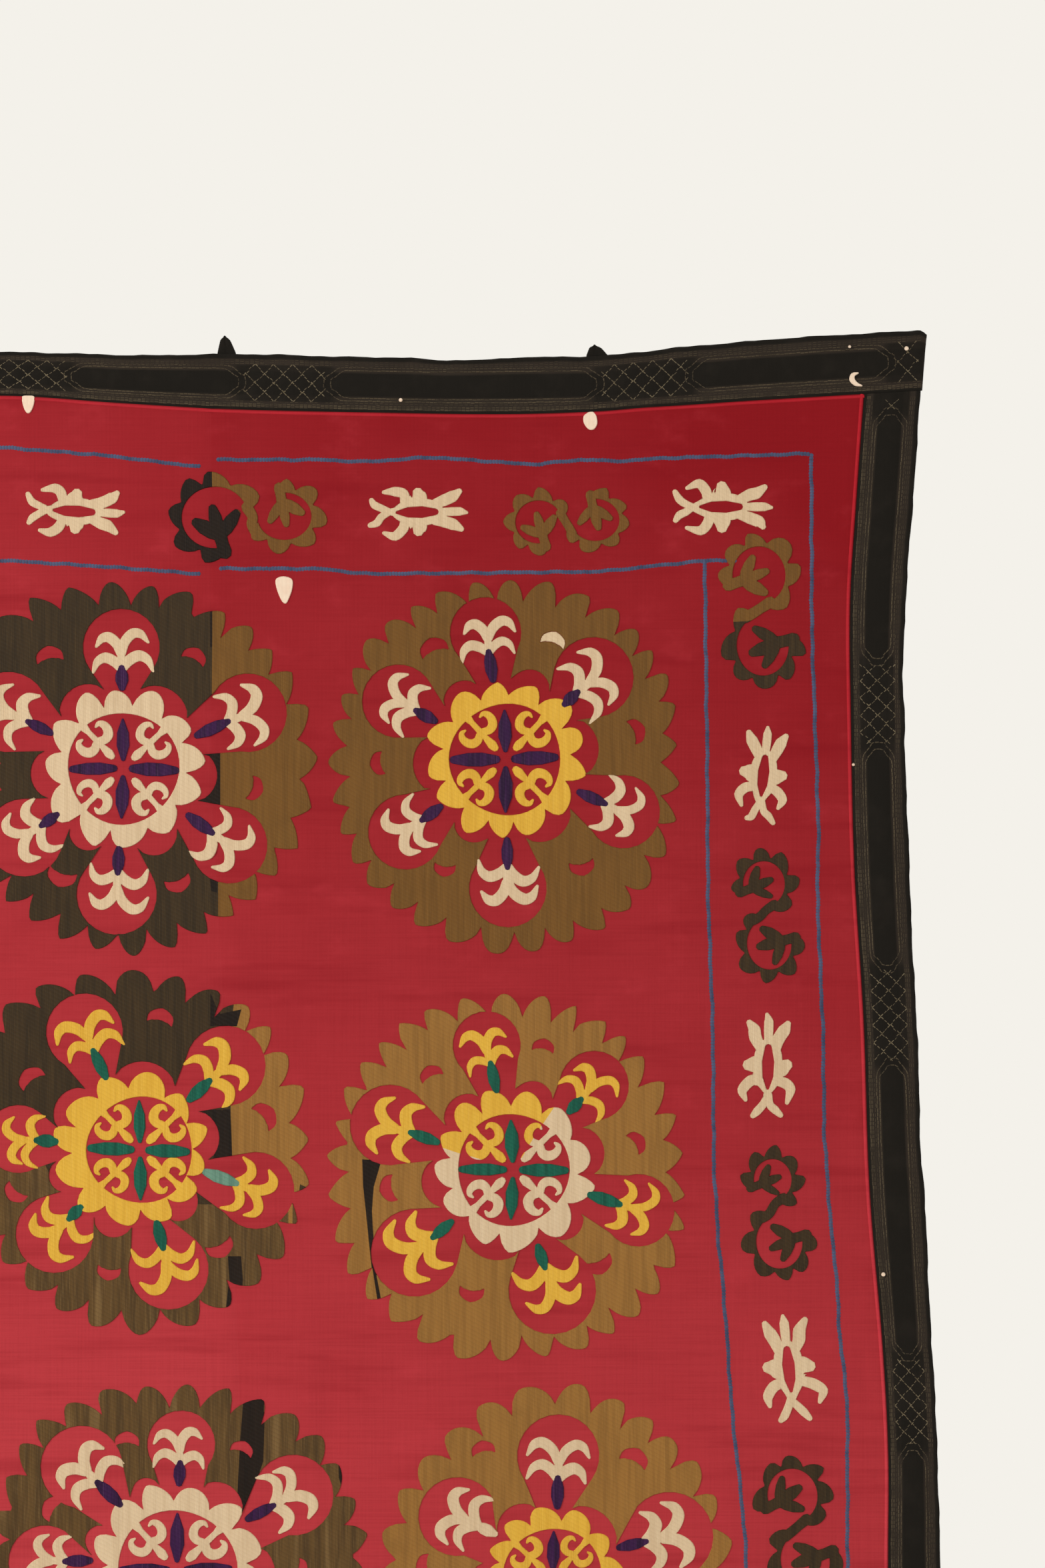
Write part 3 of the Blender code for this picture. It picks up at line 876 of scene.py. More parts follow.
def binding(strip):
    """One black strip, quilted in channels, pads and banks of diamonds."""
    shares = np.linspace(0, 1, ACROSS_CELLS + 1)
    steps = strip_steps(strip)
    if strip.level:
        across, along = np.meshgrid(shares, steps, indexing="ij")
        if strip.outer > strip.inner:
            across = across[::-1]
    else:
        along, across = np.meshgrid(steps, shares, indexing="ij")
        if strip.outer > strip.inner:
            across = across[:, ::-1]
    x, z = strip_point(strip, across, along)
    if strip.level:
        left, right = between(PLUMB_TABLES, 0, z[:, 0]), between(PLUMB_TABLES, 5, z[:, -1])
        x = left[:, None] + (right - left)[:, None] * (along - along[0, 0]) / (along[0, -1] - along[0, 0])
        z = between(LEVEL_TABLES, strip.outer + (strip.inner - strip.outer) * across, x)
    else:
        top, bottom = between(LEVEL_TABLES, 1, x[0]), between(LEVEL_TABLES, 2, x[-1])
        z = top + (bottom - top) * (along - along[0]) / (along[-1] - along[0])
        x = between(PLUMB_TABLES, strip.outer + (strip.inner - strip.outer) * across, z)
    along = x if strip.level else -z
    inward = edge_wander(strip, along) * (1 - across) ** 3
    if strip.level:
        z = z - inward if strip.outer < strip.inner else z + inward
    else:
        x = x + inward if strip.outer < strip.inner else x - inward
    edges = np.minimum(across, 1 - across)
    thin = BINDING_HALF * (1 - 0.55 * np.exp(-((edges / 0.02) ** 2)))
    front = thin + quilted(strip, across, along)
    piece = add_piece(strip.name, *sheet_mesh(x, z, front, -thin), [BLACK_COTTON], "black_cotton")
    on_pad = pad_share(strip.pads, along)
    outside = np.where((across > OUTER_ROLL) & (across < MIDDLE_START), 1.0, 0.0)
    inside = np.where((across > MIDDLE_END) & (across < INNER_FOLD - 0.01), 1.0, 0.0)
    plain_share = np.where((across < LATTICE_START) | (across > LATTICE_END), 1.0, 0.15)
    share = np.maximum(outside, inside) * np.maximum(plain_share, on_pad)
    stitched = np.concatenate([share.ravel(), np.zeros(x.size)])
    attribute = piece.data.attributes.new("stitched", "FLOAT", "POINT")
    attribute.data.foreach_set("value", stitched.astype(np.float32))
    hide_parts(strip.node)
    flat_size(x, z)
    flat_area(x, z)


# Running stitches.

Path = namedtuple("Path", "points lifts")


def spaced_along(line, lifts, pitch, jitter=0.0, seed=1):
    """Places, directions and lifts at a pitch along a line."""
    lengths = lengths_along(line)
    count = max(int(lengths[-1] / pitch), 1)
    at = (np.arange(count) + 0.5) * lengths[-1] / count
    places = points_at(line, lengths, at)
    run = unit(points_at(line, lengths, at + 0.3 * pitch) - points_at(line, lengths, at - 0.3 * pitch))
    if jitter:
        slip = np.random.default_rng(seed).normal(0.0, jitter, count)
        places = places + left_of(run) * slip[:, None]
    return places, run, np.interp(at, lengths, lifts)


# A stitch's points as (share of its length, share of its half width, share of its height), and its faces.
StitchForm = namedtuple("StitchForm", "points faces smooth")
RUNNING = StitchForm(
    ((-0.5, -1, 0), (0.5, -1, 0), (0.5, 1, 0), (-0.5, 1, 0), (-0.32, 0, 1), (0.32, 0, 1)),
    ((0, 1, 5, 4), (1, 2, 5), (2, 3, 4, 5), (3, 0, 4)),
    False,
)
CHAIN_LINK = StitchForm(
    ((-0.55, 0.0, 0.0), (-0.25, -0.8, 0.2), (0.15, -1.0, 0.3), (0.5, -0.5, 0.1), (0.6, 0.0, 0.0),
     (0.5, 0.5, 0.1), (0.15, 1.0, 0.3), (-0.25, 0.8, 0.2), (-0.2, 0.0, 1.0), (0.3, 0.0, 1.0)),
    [(i, (i + 1) % 8, 9 if 1 <= i <= 5 else 8) for i in range(8)] + [(1, 9, 8), (6, 8, 9)],
    True,
)


def stitches(name, paths, material, slot, pitch, length, half_width, height, jitter=0.0, form=RUNNING):
    """A stitch at every pitch along each path, each a small ridge sunk into the cloth at its rim.

    A height below 0 puts the stitches on the back.
    """
    verts, faces, total = [], [], 0
    sunk = math.copysign(SUNK, height)
    for number, path in enumerate(paths):
        places, run, lifts = spaced_along(path.points, path.lifts, pitch, jitter, number)
        left = left_of(run)
        for along, aside, up in form.points:
            at = places + run * along * length + left * aside * half_width
            verts.append(drape(at[:, 0], at[:, 1], lifts + up * height - (1 - up) * sunk))
        count = len(places)
        for side in form.faces:
            corners = side if height > 0 else side[::-1]
            faces += (np.array(corners) * count + total + np.arange(count)[:, None]).tolist()
        total += count * len(form.points)
    add_piece(name, np.vstack(verts), faces, [material], slot, smooth=form.smooth)


def strip_path(strip, share, along):
    share, along = np.broadcast_arrays(np.asarray(share, float), np.asarray(along, float))
    x, z = strip_point(strip, share, along)
    return Path(np.column_stack([x, z]), BINDING_HALF + quilted(strip, share, along))


TRACK_END = (
    (-1.25, -1.0), (-0.80, -0.92), (-0.28, -0.52), (0.0, -0.30), (0.0, 0.30), (-0.28, 0.52), (-0.80, 0.92),
    (-1.25, 1.0),
)


def track(strip, pad, shares, past):
    """A line round a pad, drawn in to a blunt point that lies so far past each end of the pad."""
    middle, half = sum(shares) / 2, (shares[1] - shares[0]) / 2
    reach = half * strip.width
    curve = smooth_line(TRACK_END, 4)
    right = np.column_stack([pad.end + past + reach * curve[:, 0], middle + half * curve[:, 1]])
    left = np.column_stack([pad.start - past - reach * curve[:, 0], middle - half * curve[:, 1]])
    return dense_path(strip, np.vstack([right, left, right[:1]]))


def dense_path(strip, corners):
    """A strip path through (along, share) corners, with points close enough to follow the cloth."""
    spans = []
    for a, b in zip(corners, corners[1:]):
        count = max(int(abs(b[0] - a[0]) / 0.004), 2)
        spans.append(a + (b - a) * np.linspace(0, 1, count, endpoint=False)[:, None])
    line = np.vstack([*spans, corners[-1:]])
    return strip_path(strip, line[:, 1], line[:, 0])


def lattice_paths(strip, start, end):
    """Crossing diagonals over one bank between two pads."""
    pitch = lattice_pitch(strip)
    reach = DIAMONDS_ACROSS * pitch
    across = np.linspace(0, reach, 14)
    paths = []
    for slope in (1, -1):
        first = math.floor((start - reach) / pitch)
        last = math.ceil((end + reach) / pitch)
        for count in range(first, last + 1):
            along = count * pitch + slope * across
            kept = (along > start) & (along < end)
            if kept.sum() > 3:
                paths.append(strip_path(strip, LATTICE_START + across[kept] / strip.width, along[kept]))
    return paths


def on_the_back(paths, half):
    """The same paths on the back of a cloth of so much half thickness."""
    return [Path(path.points, np.full(len(path.points), -half)) for path in paths]


def quilting(strip):
    """The brown thread of one strip: side lines, lines round the pads, and crossed lines."""
    low, high = strip.start + STRIP_END, strip.end - STRIP_END
    whole = np.array([(low, 0.0), (high, 0.0)])
    brown = [dense_path(strip, whole + (0.0, share)) for share in LINES_OUTSIDE + LINES_INSIDE]
    beige = [dense_path(strip, whole + (0.0, share)) for share in BEIGE_LINES]
    tracks = []
    for pad in strip.pads:
        tracks.append(track(strip, pad, OUTER_TRACK, TRACK_GAP))
        tracks.append(track(strip, pad, INNER_TRACK, -0.002))
    ends = [low] + [edge for pad in strip.pads for edge in (pad.start, pad.end)] + [high]
    crossed = []
    for start, end in zip(ends[::2], ends[1::2]):
        if end - start > 0.012:
            crossed += lattice_paths(strip, max(start + LATTICE_INSET, low), min(end - LATTICE_INSET, high))
    name = strip.node + "_quilting"
    bright, dull = (QUILTING_THREAD, "quilting_thread"), (DULL_THREAD, "quilting_thread")
    fine = dict(half_width=0.00045, height=0.0004, jitter=0.0002)
    plain = dict(half_width=0.00065, height=0.0005, jitter=0.0002)
    thick = dict(half_width=0.00075, height=0.0006, jitter=0.0004)
    stitches(name + "_lines", brown, *dull, 0.0056, 0.0046, **fine)
    stitches(name + "_beige", beige, *dull, 0.0048, 0.0044, **plain)
    stitches(name + "_tracks", tracks, *dull, 0.0046, 0.0042, **plain)
    stitches(name + "_lattice", crossed, *bright, 0.0044, 0.0041, **thick)
    behind = on_the_back(brown[::3] + beige[1:2] + tracks[1::2] + crossed, BINDING_HALF)
    stitches(name + "_behind", behind, *dull, 0.0075, 0.0046, 0.0006, -0.0005, 0.0002)


RIDGE_INSET = 0.0026
RIDGE_HALF = 0.0019
RIDGE_HEIGHT = 0.0012


def red_fold():
    """The ridge of red cotton pressed up beside the binding, all round the ground."""
    spots = np.linspace(0, 1, 260)
    sides = []
    for column, inward in ((1, 1), (4, -1)):
        x, z = crossing(np.full(spots.shape, float(column)), 1 + spots)
        sides.append(np.column_stack([x + inward * RIDGE_INSET, z]))
    for row, inward in ((1, -1), (2, 1)):
        x, z = crossing(1 + 3 * spots, np.full(spots.shape, float(row)))
        sides.append(np.column_stack([x, z + inward * RIDGE_INSET]))
    verts, faces, total = [], [], 0
    profile = ((-1.0, -0.25), (-0.6, 0.7), (0.0, 1.0), (0.6, 0.7), (1.0, -0.25))
    for line in sides:
        _, left = sides_of(line)
        wobble = 1 + 0.18 * np.sin(np.arange(len(line)) * 0.9) * np.sin(np.arange(len(line)) * 0.23)
        for aside, up in profile:
            at = line + left * aside * RIDGE_HALF
            verts.append(drape(at[:, 0], at[:, 1], GROUND_HALF + up * RIDGE_HEIGHT * wobble))
        count = len(line)
        for row in range(len(profile) - 1):
            for i in range(count - 1):
                a, b = total + row * count + i, total + (row + 1) * count + i
                faces.append((a, a + 1, b + 1, b))
        total += count * len(profile)
    # Its red is lighter than the ground: a painted highlight along the ridge.
    return add_piece("red_fold_ridge", np.vstack(verts), faces, [RED_RIDGE_HIGHLIGHT], "red_cotton")


def tape_loop(number, loop):
    """A pinched loop of black tape with a soft fold down its middle."""
    edge = float(between(LEVEL_TABLES, 0, loop.x))
    rows, columns = 15, 9
    up = np.linspace(-LOOP_TUCK, loop.height, rows)
    side = np.linspace(-1, 1, columns)
    taper = np.clip(up / loop.height, 0.0, 1.0)
    half = loop.half_width * (1 - 0.62 * taper - 0.20 * np.clip((taper - 0.70) / 0.30, 0.0, 1.0) ** 2)
    lean = -0.0022 * taper * (1 + 0.4 * math.sin(number * 2.1))
    x = loop.x + lean[:, None] + half[:, None] * side[None, :]
    z = edge + np.broadcast_to(up[:, None], x.shape) - 0.0025 * taper[:, None] ** 6 * side[None, :] ** 2
    behind = -BINDING_HALF - LOOP_GAP
    crown = 0.0011 * (np.abs(np.sin(np.pi * side)) ** 0.7)[None, :] * (0.4 + 0.6 * taper[:, None])
    front = np.full(x.shape, behind) + crown
    back = np.full(x.shape, behind - LOOP_TAPE)
    verts, faces = sheet_mesh(x[::-1], z[::-1], front[::-1], back[::-1])
    piece = add_piece(f"tape_loop_{number}", verts, faces, [BLACK_COTTON], "loop_tape")
    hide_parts(f"hanging_loop_{number}")


# Rosettes.

Bud = namedtuple("Bud", "angle distance radius")
Style = namedtuple("Style", "tips teeth first_tooth depth squareness petals buds")
STYLES = {
    "a": Style((221, 213, 207, 222, 206, 200, 211, 208), 32, 93, 20, 1.7, 12, (
        Bud(91, 134, 43), Bud(154, 142, 45), Bud(215, 134, 43.5),
        Bud(267, 140, 45), Bud(324, 145, 43), Bud(384, 151, 44),
    )),
    "b": Style((193, 210, 202, 204, 197, 208, 221, 217), 34, 89, 19, 2.2, 13, (
        Bud(99, 142, 40), Bud(151.5, 135, 41), Bud(216, 137, 42),
        Bud(271, 143, 43.5), Bud(336, 143, 41), Bud(403, 133, 45),
    )),
    "c": Style((193, 201, 197, 219, 199, 197, 210, 206), 28, 105, 21, 1.9, 12, (
        Bud(115, 141, 43), Bud(176, 133, 38), Bud(226, 133, 43.5),
        Bud(284, 139, 45), Bud(340, 139, 43), Bud(403, 132, 45),
    )),
    "d": Style((194, 195, 199, 210, 209, 220, 215, 217), 33, 92, 21, 1.8, 12, (
        Bud(102, 141, 38), Bud(160, 145, 45), Bud(220, 142, 49),
        Bud(288, 140, 49), Bud(342, 146, 40.5), Bud(406, 129, 39),
    )),
    "e": Style((218, 210, 192, 218, 206, 201, 206, 210), 31, 98, 20, 2.0, 12, (
        Bud(87, 125, 38), Bud(136, 144, 46), Bud(182, 144, 41),
        Bud(251, 141, 44), Bud(320, 143, 43), Bud(388, 148, 45),
    )),
    "f": Style((197, 191, 204, 191, 200, 201, 206, 203), 26, 84, 22, 2.4, 12, (
        Bud(89, 117, 46), Bud(155, 120, 44), Bud(210, 125, 45),
        Bud(264, 122, 46), Bud(319, 124, 45), Bud(373, 128, 49),
    )),
}
Rosette = namedtuple("Rosette", "name style x z wreath ring sprig stem turn")
ROSETTES = table(
    Rosette,
    ("rosette_1_left", "b", -440, -462, "mid_olive", "yellow", "cream", "green", 24),
    ("rosette_1_middle", "a", 1, -466, "dark_olive", "cream", "cream", "purple", 0),
    ("rosette_1_right", "b", 431, -456, "light_olive", "yellow", "cream", "purple", 0),
    ("rosette_2_left", "d", -425, -895, "gold_olive", "cream", "yellow", "green", -33),
    ("rosette_2_middle", "c", 18, -892, "dark_olive", "yellow", "yellow", "green", 0),
    ("rosette_2_right", "d", 439.5, -917, "gold_olive", "cream", "yellow", "green", 0),
    ("rosette_3_left", "f", -378, -1345, "dark_olive", "yellow", "cream", "purple", 18),
    ("rosette_3_middle", "e", 60, -1352, "mid_olive", "cream", "cream", "purple", 0),
    ("rosette_3_right", "f", 488, -1357, "gold_olive", "yellow", "cream", "purple", 0),
    ("rosette_4_left", "a", -352, -1805, "light_olive", "yellow", "yellow", "green", 15),
    ("rosette_4_middle", "c", 82, -1800, "mid_olive", "cream", "cream", "purple", 31),
    ("rosette_4_right", "f", 484, -1812, "dark_olive", "cream", "yellow", "green", -21),
)


# Where the thread of a wreath changes: a later lot of dye, or the next length of cotton. One thin dark zone
# along the middle seam is painted shade, not thread.
WREATH_ZONES = (
    zone_in("rosette_1_middle", "light_olive", (101, -200), (260, -200), (260, -740), (107, -740),
            (109, -436), (101, -436)),
    zone_in("rosette_1_middle", "black_brown", (90, -434), (110, -430), (110, -522), (96, -517),
            (80, -513), (86, -470)),
    # A thin black-brown line on the middle seam: painted shade of the seam, not a change of thread.
    zone_in("rosette_1_middle", "black_brown", (98.5, -190), (101, -190), (101, -330), (98.5, -330)),
    zone_in("rosette_1_middle", "black_brown", (98, -582), (108, -582), (107, -606), (100, -604)),
    zone_in("rosette_2_middle", "mid_olive", (-220, -905), (-90, -905), (-60, -960), (250, -951),
            (250, -1130), (-220, -1130)),
    zone_in("rosette_2_middle", "gold_olive", (128, -700), (260, -700), (260, -951), (122, -951),
            (122, -770)),
    zone_in("rosette_2_middle", "gold_olive", (186, -951), (191, -951), (192, -1001), (188, -1001)),
    zone_in("rosette_2_middle", "dark_olive", (200, -933), (222, -945), (218, -956), (198, -960)),
    zone_in("rosette_2_middle", "black_brown", (99, -718), (110, -742), (134, -737), (129, -756),
            (99, -756)),
    zone_in("rosette_2_middle", "black_brown", (86, -849), (122, -849), (124, -903), (102, -909),
            (104, -890), (98, -864)),
    zone_in("rosette_2_middle", "black_brown", (119, -1014), (134, -1014), (136, -1040), (134, -1066),
            (117, -1074), (121, -1042)),
    zone_in("rosette_2_right", "black_brown", (270, -905), (292, -905), (283, -936), (281, -963),
            (285.5, -1027), (295, -1085), (291, -1085), (281, -1027), (274, -963), (271, -935)),
    zone_in("rosette_3_middle", "black_brown", (137, -1160), (161, -1160), (159, -1244), (143, -1300),
            (128, -1300), (132, -1239)),
    zone_in("rosette_3_middle", "black_brown", (244, -1240), (264, -1240), (259, -1262), (250, -1276),
            (244, -1262)),
    zone_in("rosette_4_left", "mid_olive", (-600, -1600), (-480, -1600), (-474, -2030), (-600, -2030)),
    zone_in("rosette_4_middle", "dark_olive", (146, -1580), (320, -1580), (320, -2030), (149, -2030)),
    zone_in("rosette_1_left", "light_olive", (-660, -250), (-620, -250), (-612, -680), (-660, -680)),
)
STEPPED_PEAK = 0.24
NECK_RADIUS = 91.0
NECK_HALF_ANGLE = 13.0
LOBE_RADIUS = 103.0
HEAD_TURN = 122
RING_TIP, RING_ROOT, RING_HOLE = 91.0, 72.0, 62.5
CRESCENT_RADIUS = 146.0
CREAM_CRESCENTS = {"rosette_1_right": 5}

# Rings that are worked off the middle of their wreath, with petals that slip to one side.
RingFit = namedtuple("RingFit", "x z size slip", defaults=(0.0, 0.0, 1.0, 0.0))
RING_FITS = {
    "rosette_2_middle": RingFit(2, -3, 0.95, -9),
    "rosette_3_middle": RingFit(2, -14, 1.07),
    "rosette_3_right": RingFit(-4, -17, 0.88),
}


def rim_outline(style, turn, rng):
    """The toothed outer edge of a wreath."""
    starts = 360 * uneven_shares(rng, 0.16, style.teeth)
    first = style.first_tooth - 180 / style.teeth
    directions = np.arange(-45, 450, 45)
    radii = np.array(style.tips)[(directions // 45) % 8]
    points = []
    for start, end in zip(starts, starts[1:]):
        u = np.linspace(0, 1, 11, endpoint=False)
        angle = first + start + (end - start) * u
        middle = math.radians(first + (start + end) / 2 + turn)
        peak = 0.5 + STEPPED_PEAK * math.sin(4 * middle) + rng.uniform(-0.06, 0.06)
        tip = np.interp(angle % 360, directions, radii) * rng.uniform(0.985, 1.015)
        depth = style.depth * rng.uniform(0.9, 1.2) * (1 + 0.2 * math.sin(middle) ** 2)
        squareness = style.squareness * (0.7 + 0.3 * math.sin(middle) ** 2) * rng.uniform(0.75, 1.15)
        rise = tooth_rise(u, peak, squareness)
        points.append(polar(tip - depth * (1 - rise), angle + turn))
    return np.vstack(points)


def with_next(buds):
    """Each bud with the one after it, all the way round."""
    return zip(buds, [*buds[1:], buds[0]._replace(angle=buds[0].angle + 360)])


def cloud_outline(style, turn, rng, fit):
    """The bare ground inside a wreath: a drop for each bud, a round lobe between each two."""
    points = []
    middle = (fit.x + fit.slip, fit.z)
    for bud, after in with_next(style.buds):
        neck = NECK_HALF_ANGLE * rng.uniform(0.9, 1.15)
        centre = spoke(bud.distance, bud.angle)
        sweep = np.linspace(-HEAD_TURN, HEAD_TURN, 19)
        bulge = bud.radius * (1 + 0.05 * np.cos(np.radians(sweep)))
        points.append(polar(NECK_RADIUS * fit.size, [bud.angle - neck]) + middle)
        points.append(centre + polar(bulge, bud.angle + sweep))
        points.append(polar(NECK_RADIUS * fit.size, [bud.angle + neck]) + middle)
        share = np.linspace(0, 1, 11)[1:-1]
        angle = bud.angle + neck + (after.angle - bud.angle - 2 * neck) * share
        rise = (LOBE_RADIUS * rng.uniform(0.98, 1.03) - NECK_RADIUS) * np.sin(np.pi * share) ** 0.7
        points.append(polar((NECK_RADIUS + rise) * fit.size, angle) + middle)
    return turned(np.vstack(points), turn)


def petal_ring(petals, rng):
    """The lobed outer edge of the ring, and its round inner edge."""
    starts = 360 * uneven_shares(rng, 0.18, petals) + rng.uniform(0, 360 / petals)
    points = []
    for start, end in zip(starts, starts[1:]):
        u = np.linspace(0, 1, 12, endpoint=False)
        tip = RING_TIP * rng.uniform(0.95, 1.05)
        rise = tooth_rise(u, rng.uniform(0.26, 0.74), rng.uniform(1.3, 2.3))
        root = RING_ROOT * rng.uniform(0.98, 1.02)
        points.append(polar(root + (tip - root) * rise, start + (end - start) * u))
    around = np.arange(0, 360, 7.5)
    hole = polar(RING_HOLE + 1.2 * np.sin(np.radians(3 * around + rng.uniform(0, 360))), around)
    return np.vstack(points), hole


def horned_scroll(rng):
    """A leaf with two curled horns, from the ring at 0 towards the centre."""
    parts = [
        stroke([(-4, 0), (7, 0), (17, 0), (25, 0)], [6.0, 3.4, 3.6, 4.2]),
        stroke([(24, 0), (33, 0), (41, 0), (45.5, 0)], [2.4, 4.2, 5.6, 4.6]),
    ]
    for flip in (1, -1):
        hook = [(23, 2), (26.3, 8), (25.2, 14.6), (19.6, 18.8), (12.6, 19.2), (8, 15.8), (8.2, 11)]
        hook = np.array(hook) * (1, flip) + rng.uniform(-1, 1, 2)
        parts.append(stroke(hook, np.array([4.4, 5.2, 5.7, 5.3, 4.4, 3.3, 1.6]) * rng.uniform(0.9, 1.1)))
    return parts


def sprig(rng):
    """Four bent leaves on a short stalk, from its foot at 0 outwards, for a bud of 43 mm."""
    low = np.array([(0, 1), (9, 9), (13, 19), (8, 28), (-4, 33)], float)
    high = np.array([(17, 1), (30, 6), (38, 16), (36, 25), (26, 32)], float)
    parts = [stroke([(-2, 0), (9, 0), (22, 0)], [3.2, 4.8, 4.2])]
    for leaf, widths in ((low, [4.4, 6.0, 6.1, 4.8, 1.8]), (high, [4.4, 6.0, 6.2, 5.2, 1.8])):
        for flip in (1, -1):
            reach = rng.uniform(0.86, 1.08)
            bent = leaf[0] + turned(leaf - leaf[0], rng.uniform(-12, 12)) * reach
            parts.append(stroke(bent * (1, flip), np.array(widths) * rng.uniform(0.9, 1.1)))
    return parts


def spindle(start, end, half_width, blunt=True):
    """A bar along the u axis, with a blunt or a pointed outer end."""
    third = (end - start) / 3
    points = [(start, 0), (start + third, 0), (end - third, 0), (end, 0)]
    shares = (0.62, 1.04, 1.0, 0.60) if blunt else (0.42, 1.08, 1.0, 0.22)
    return stroke(points, np.array(shares) * half_width)


def crescent():
    return stroke([(-6, -14), (0, -10), (4, 0), (0, 10), (-6, 14)], [0.8, 5.0, 6.8, 5.0, 0.8], 3)


def zone_index(zones, name, main):
    """The colours of a rosette's wreath, its usual one first, and its zones by their place there."""
    mine = [zone for zone in zones if zone.rosette == name]
    colours = [main] + sorted({zone.colour for zone in mine} - {main})
    return colours, [zone._replace(colour=colours.index(zone.colour)) for zone in mine]


Sector = namedtuple("Sector", "rosette part colour start end")
SECTORS = table(
    Sector,
    ("rosette_2_right", "ring", "yellow", 57, 163),
    ("rosette_2_middle", "stems", "pale_green", 334, 346),
    ("rosette_3_right", "stems", "cream", 147, 163), ("rosette_4_left", "ring", "cream", 200, 290),
    ("rosette_1_left", "stems", "pale_green", 118, 128),
)
SECTOR_REACH = 150.0
CROSS_REACH = 62.0


def sector_colours(row, part, main):
    """The colours of one part of a rosette, and the wedges of it that are worked in another."""
    colours, zones = [main], []
    for sector in SECTORS:
        if (sector.rosette, sector.part) == (row.name, part):
            corners = polar(SECTOR_REACH, np.linspace(sector.start, sector.end, 5))
            inner = polar(CROSS_REACH if part == "stems" else 2.0, [sector.end, sector.start])
            colours.append(sector.colour)
            wedge = placed([np.vstack([corners, inner])], row.x, row.z)[0]
            zones.append(Zone(row.name, len(colours) - 1, wedge))
    return colours, zones


def rosette(seed, row):
    """A toothed wreath, a petalled ring round a cross and scrolls, and a sprig in each bud."""
    style = STYLES[row.style]
    rng = np.random.default_rng(seed)
    fit = RING_FITS.get(row.name, RingFit())
    x, z = row.x, row.z
    ring_x, ring_z = x + fit.x, z + fit.z
    rim = placed([rim_outline(style, row.turn, rng)], x, z)
    cloud = placed([cloud_outline(style, row.turn, rng, fit)], x, z)
    buds = [bud._replace(angle=bud.angle + row.turn) for bud in style.buds]
    gaps = []
    for bud, after in with_next(buds):
        gaps.append((bud.angle + after.angle) / 2 + rng.uniform(-3, 3))
    moons = []
    for angle in gaps:
        centre = spoke(CRESCENT_RADIUS * rng.uniform(0.96, 1.04), angle)
        upright = math.atan2(2.4 * math.sin(math.radians(angle)), math.cos(math.radians(angle)))
        turn = math.degrees(upright) + rng.uniform(-12, 12)
        where = (x + centre[0], z + centre[1], turn, rng.uniform(0.8, 1.1))
        moons.append(placed([crescent()], *where)[0])
    cream_moon = CREAM_CRESCENTS.get(row.name)
    colours, zones = zone_index(WREATH_ZONES, row.name, row.wreath)
    embroidery(row.name + "_wreath", [Layer(True, rim), Layer(False, cloud + moons)], colours, zones)

    outer, hole = petal_ring(style.petals, rng)
    scrolls, cross = [], []
    for quarter in range(4):
        angle = 45 + 90 * quarter + rng.uniform(-3, 3)
        foot = spoke(RING_HOLE * fit.size, angle)
        size = rng.uniform(0.94, 1.04) * fit.size
        scrolls += placed(horned_scroll(rng), ring_x + foot[0], ring_z + foot[1], angle + 180, size)
        turn, end = 90 * quarter + rng.uniform(-3, 3), rng.uniform(54, 59)
        arm = spindle(10.5, end, rng.uniform(6.6, 7.8), blunt=quarter % 2 == 0)
        cross += placed([arm], ring_x, ring_z, turn, fit.size)
    petals = placed([outer], ring_x + fit.slip, ring_z, 0, fit.size)
    hole = placed([hole], ring_x, ring_z, 0, fit.size)
    layers = [Layer(True, petals), Layer(False, hole), Layer(True, scrolls)]
    colours, zones = sector_colours(row, "ring", row.ring)
    embroidery(row.name + "_ring", layers, colours, zones)

    sprigs, stems = [], []
    for bud in buds:
        foot = bud.distance - 0.52 * bud.radius
        at = spoke(foot, bud.angle)
        turn = bud.angle + rng.uniform(-7, 7)
        sprigs += placed(sprig(rng), x + at[0], z + at[1], turn, bud.radius / 43)
        towards = spoke(1.0, bud.angle)
        start = RING_TIP * fit.size + (fit.x + fit.slip) * towards[0] + fit.z * towards[1]
        stems += placed([spindle(start, foot + 1, rng.uniform(6.2, 7.3))], x, z, bud.angle)
    if cream_moon is not None:
        sprigs.append(moons[cream_moon])
    embroidery(row.name + "_sprigs", [Layer(True, sprigs)], [row.sprig])
    colours, zones = sector_colours(row, "stems", row.stem)
    embroidery(row.name + "_stems", [Layer(True, cross + stems)], colours, zones, height=0.0012)


# The band of palmettes and vine scrolls between the two blue lines.

Motif = namedtuple("Motif", "x z turn size horn", defaults=(1.0,))
PALMETTES = table(
    Motif,
    (-53, -177, -3, 1.0), (333, -178, 1, 1.0), (675, -172, 0, 1.02), (-430, -181, 2, 1.0),
    (721, -473, 84, 0.98), (726, -800, 89, 1.06), (749, -1139, 96, 1.08, 1.28), (758, -1500, 90, 1.0),
    (754, -1868, 88, 1.04), (-716, -330, 92, 1.0), (-702, -690, 88, 1.0), (-678, -1040, 91, 1.04),
    (-655, -1420, 94, 1.0), (-640, -1790, 90, 1.02), (540, -2094, 181, 1.0), (160, -2098, 178, 1.0),
    (-215, -2096, 183, 1.02), (-560, -2092, 179, 1.0),
)
PALMETTE_MIDDLE = (54.0, 0.0)
VineScroll = namedtuple("VineScroll", "x z turn size first second swell", defaults=(1.0,))
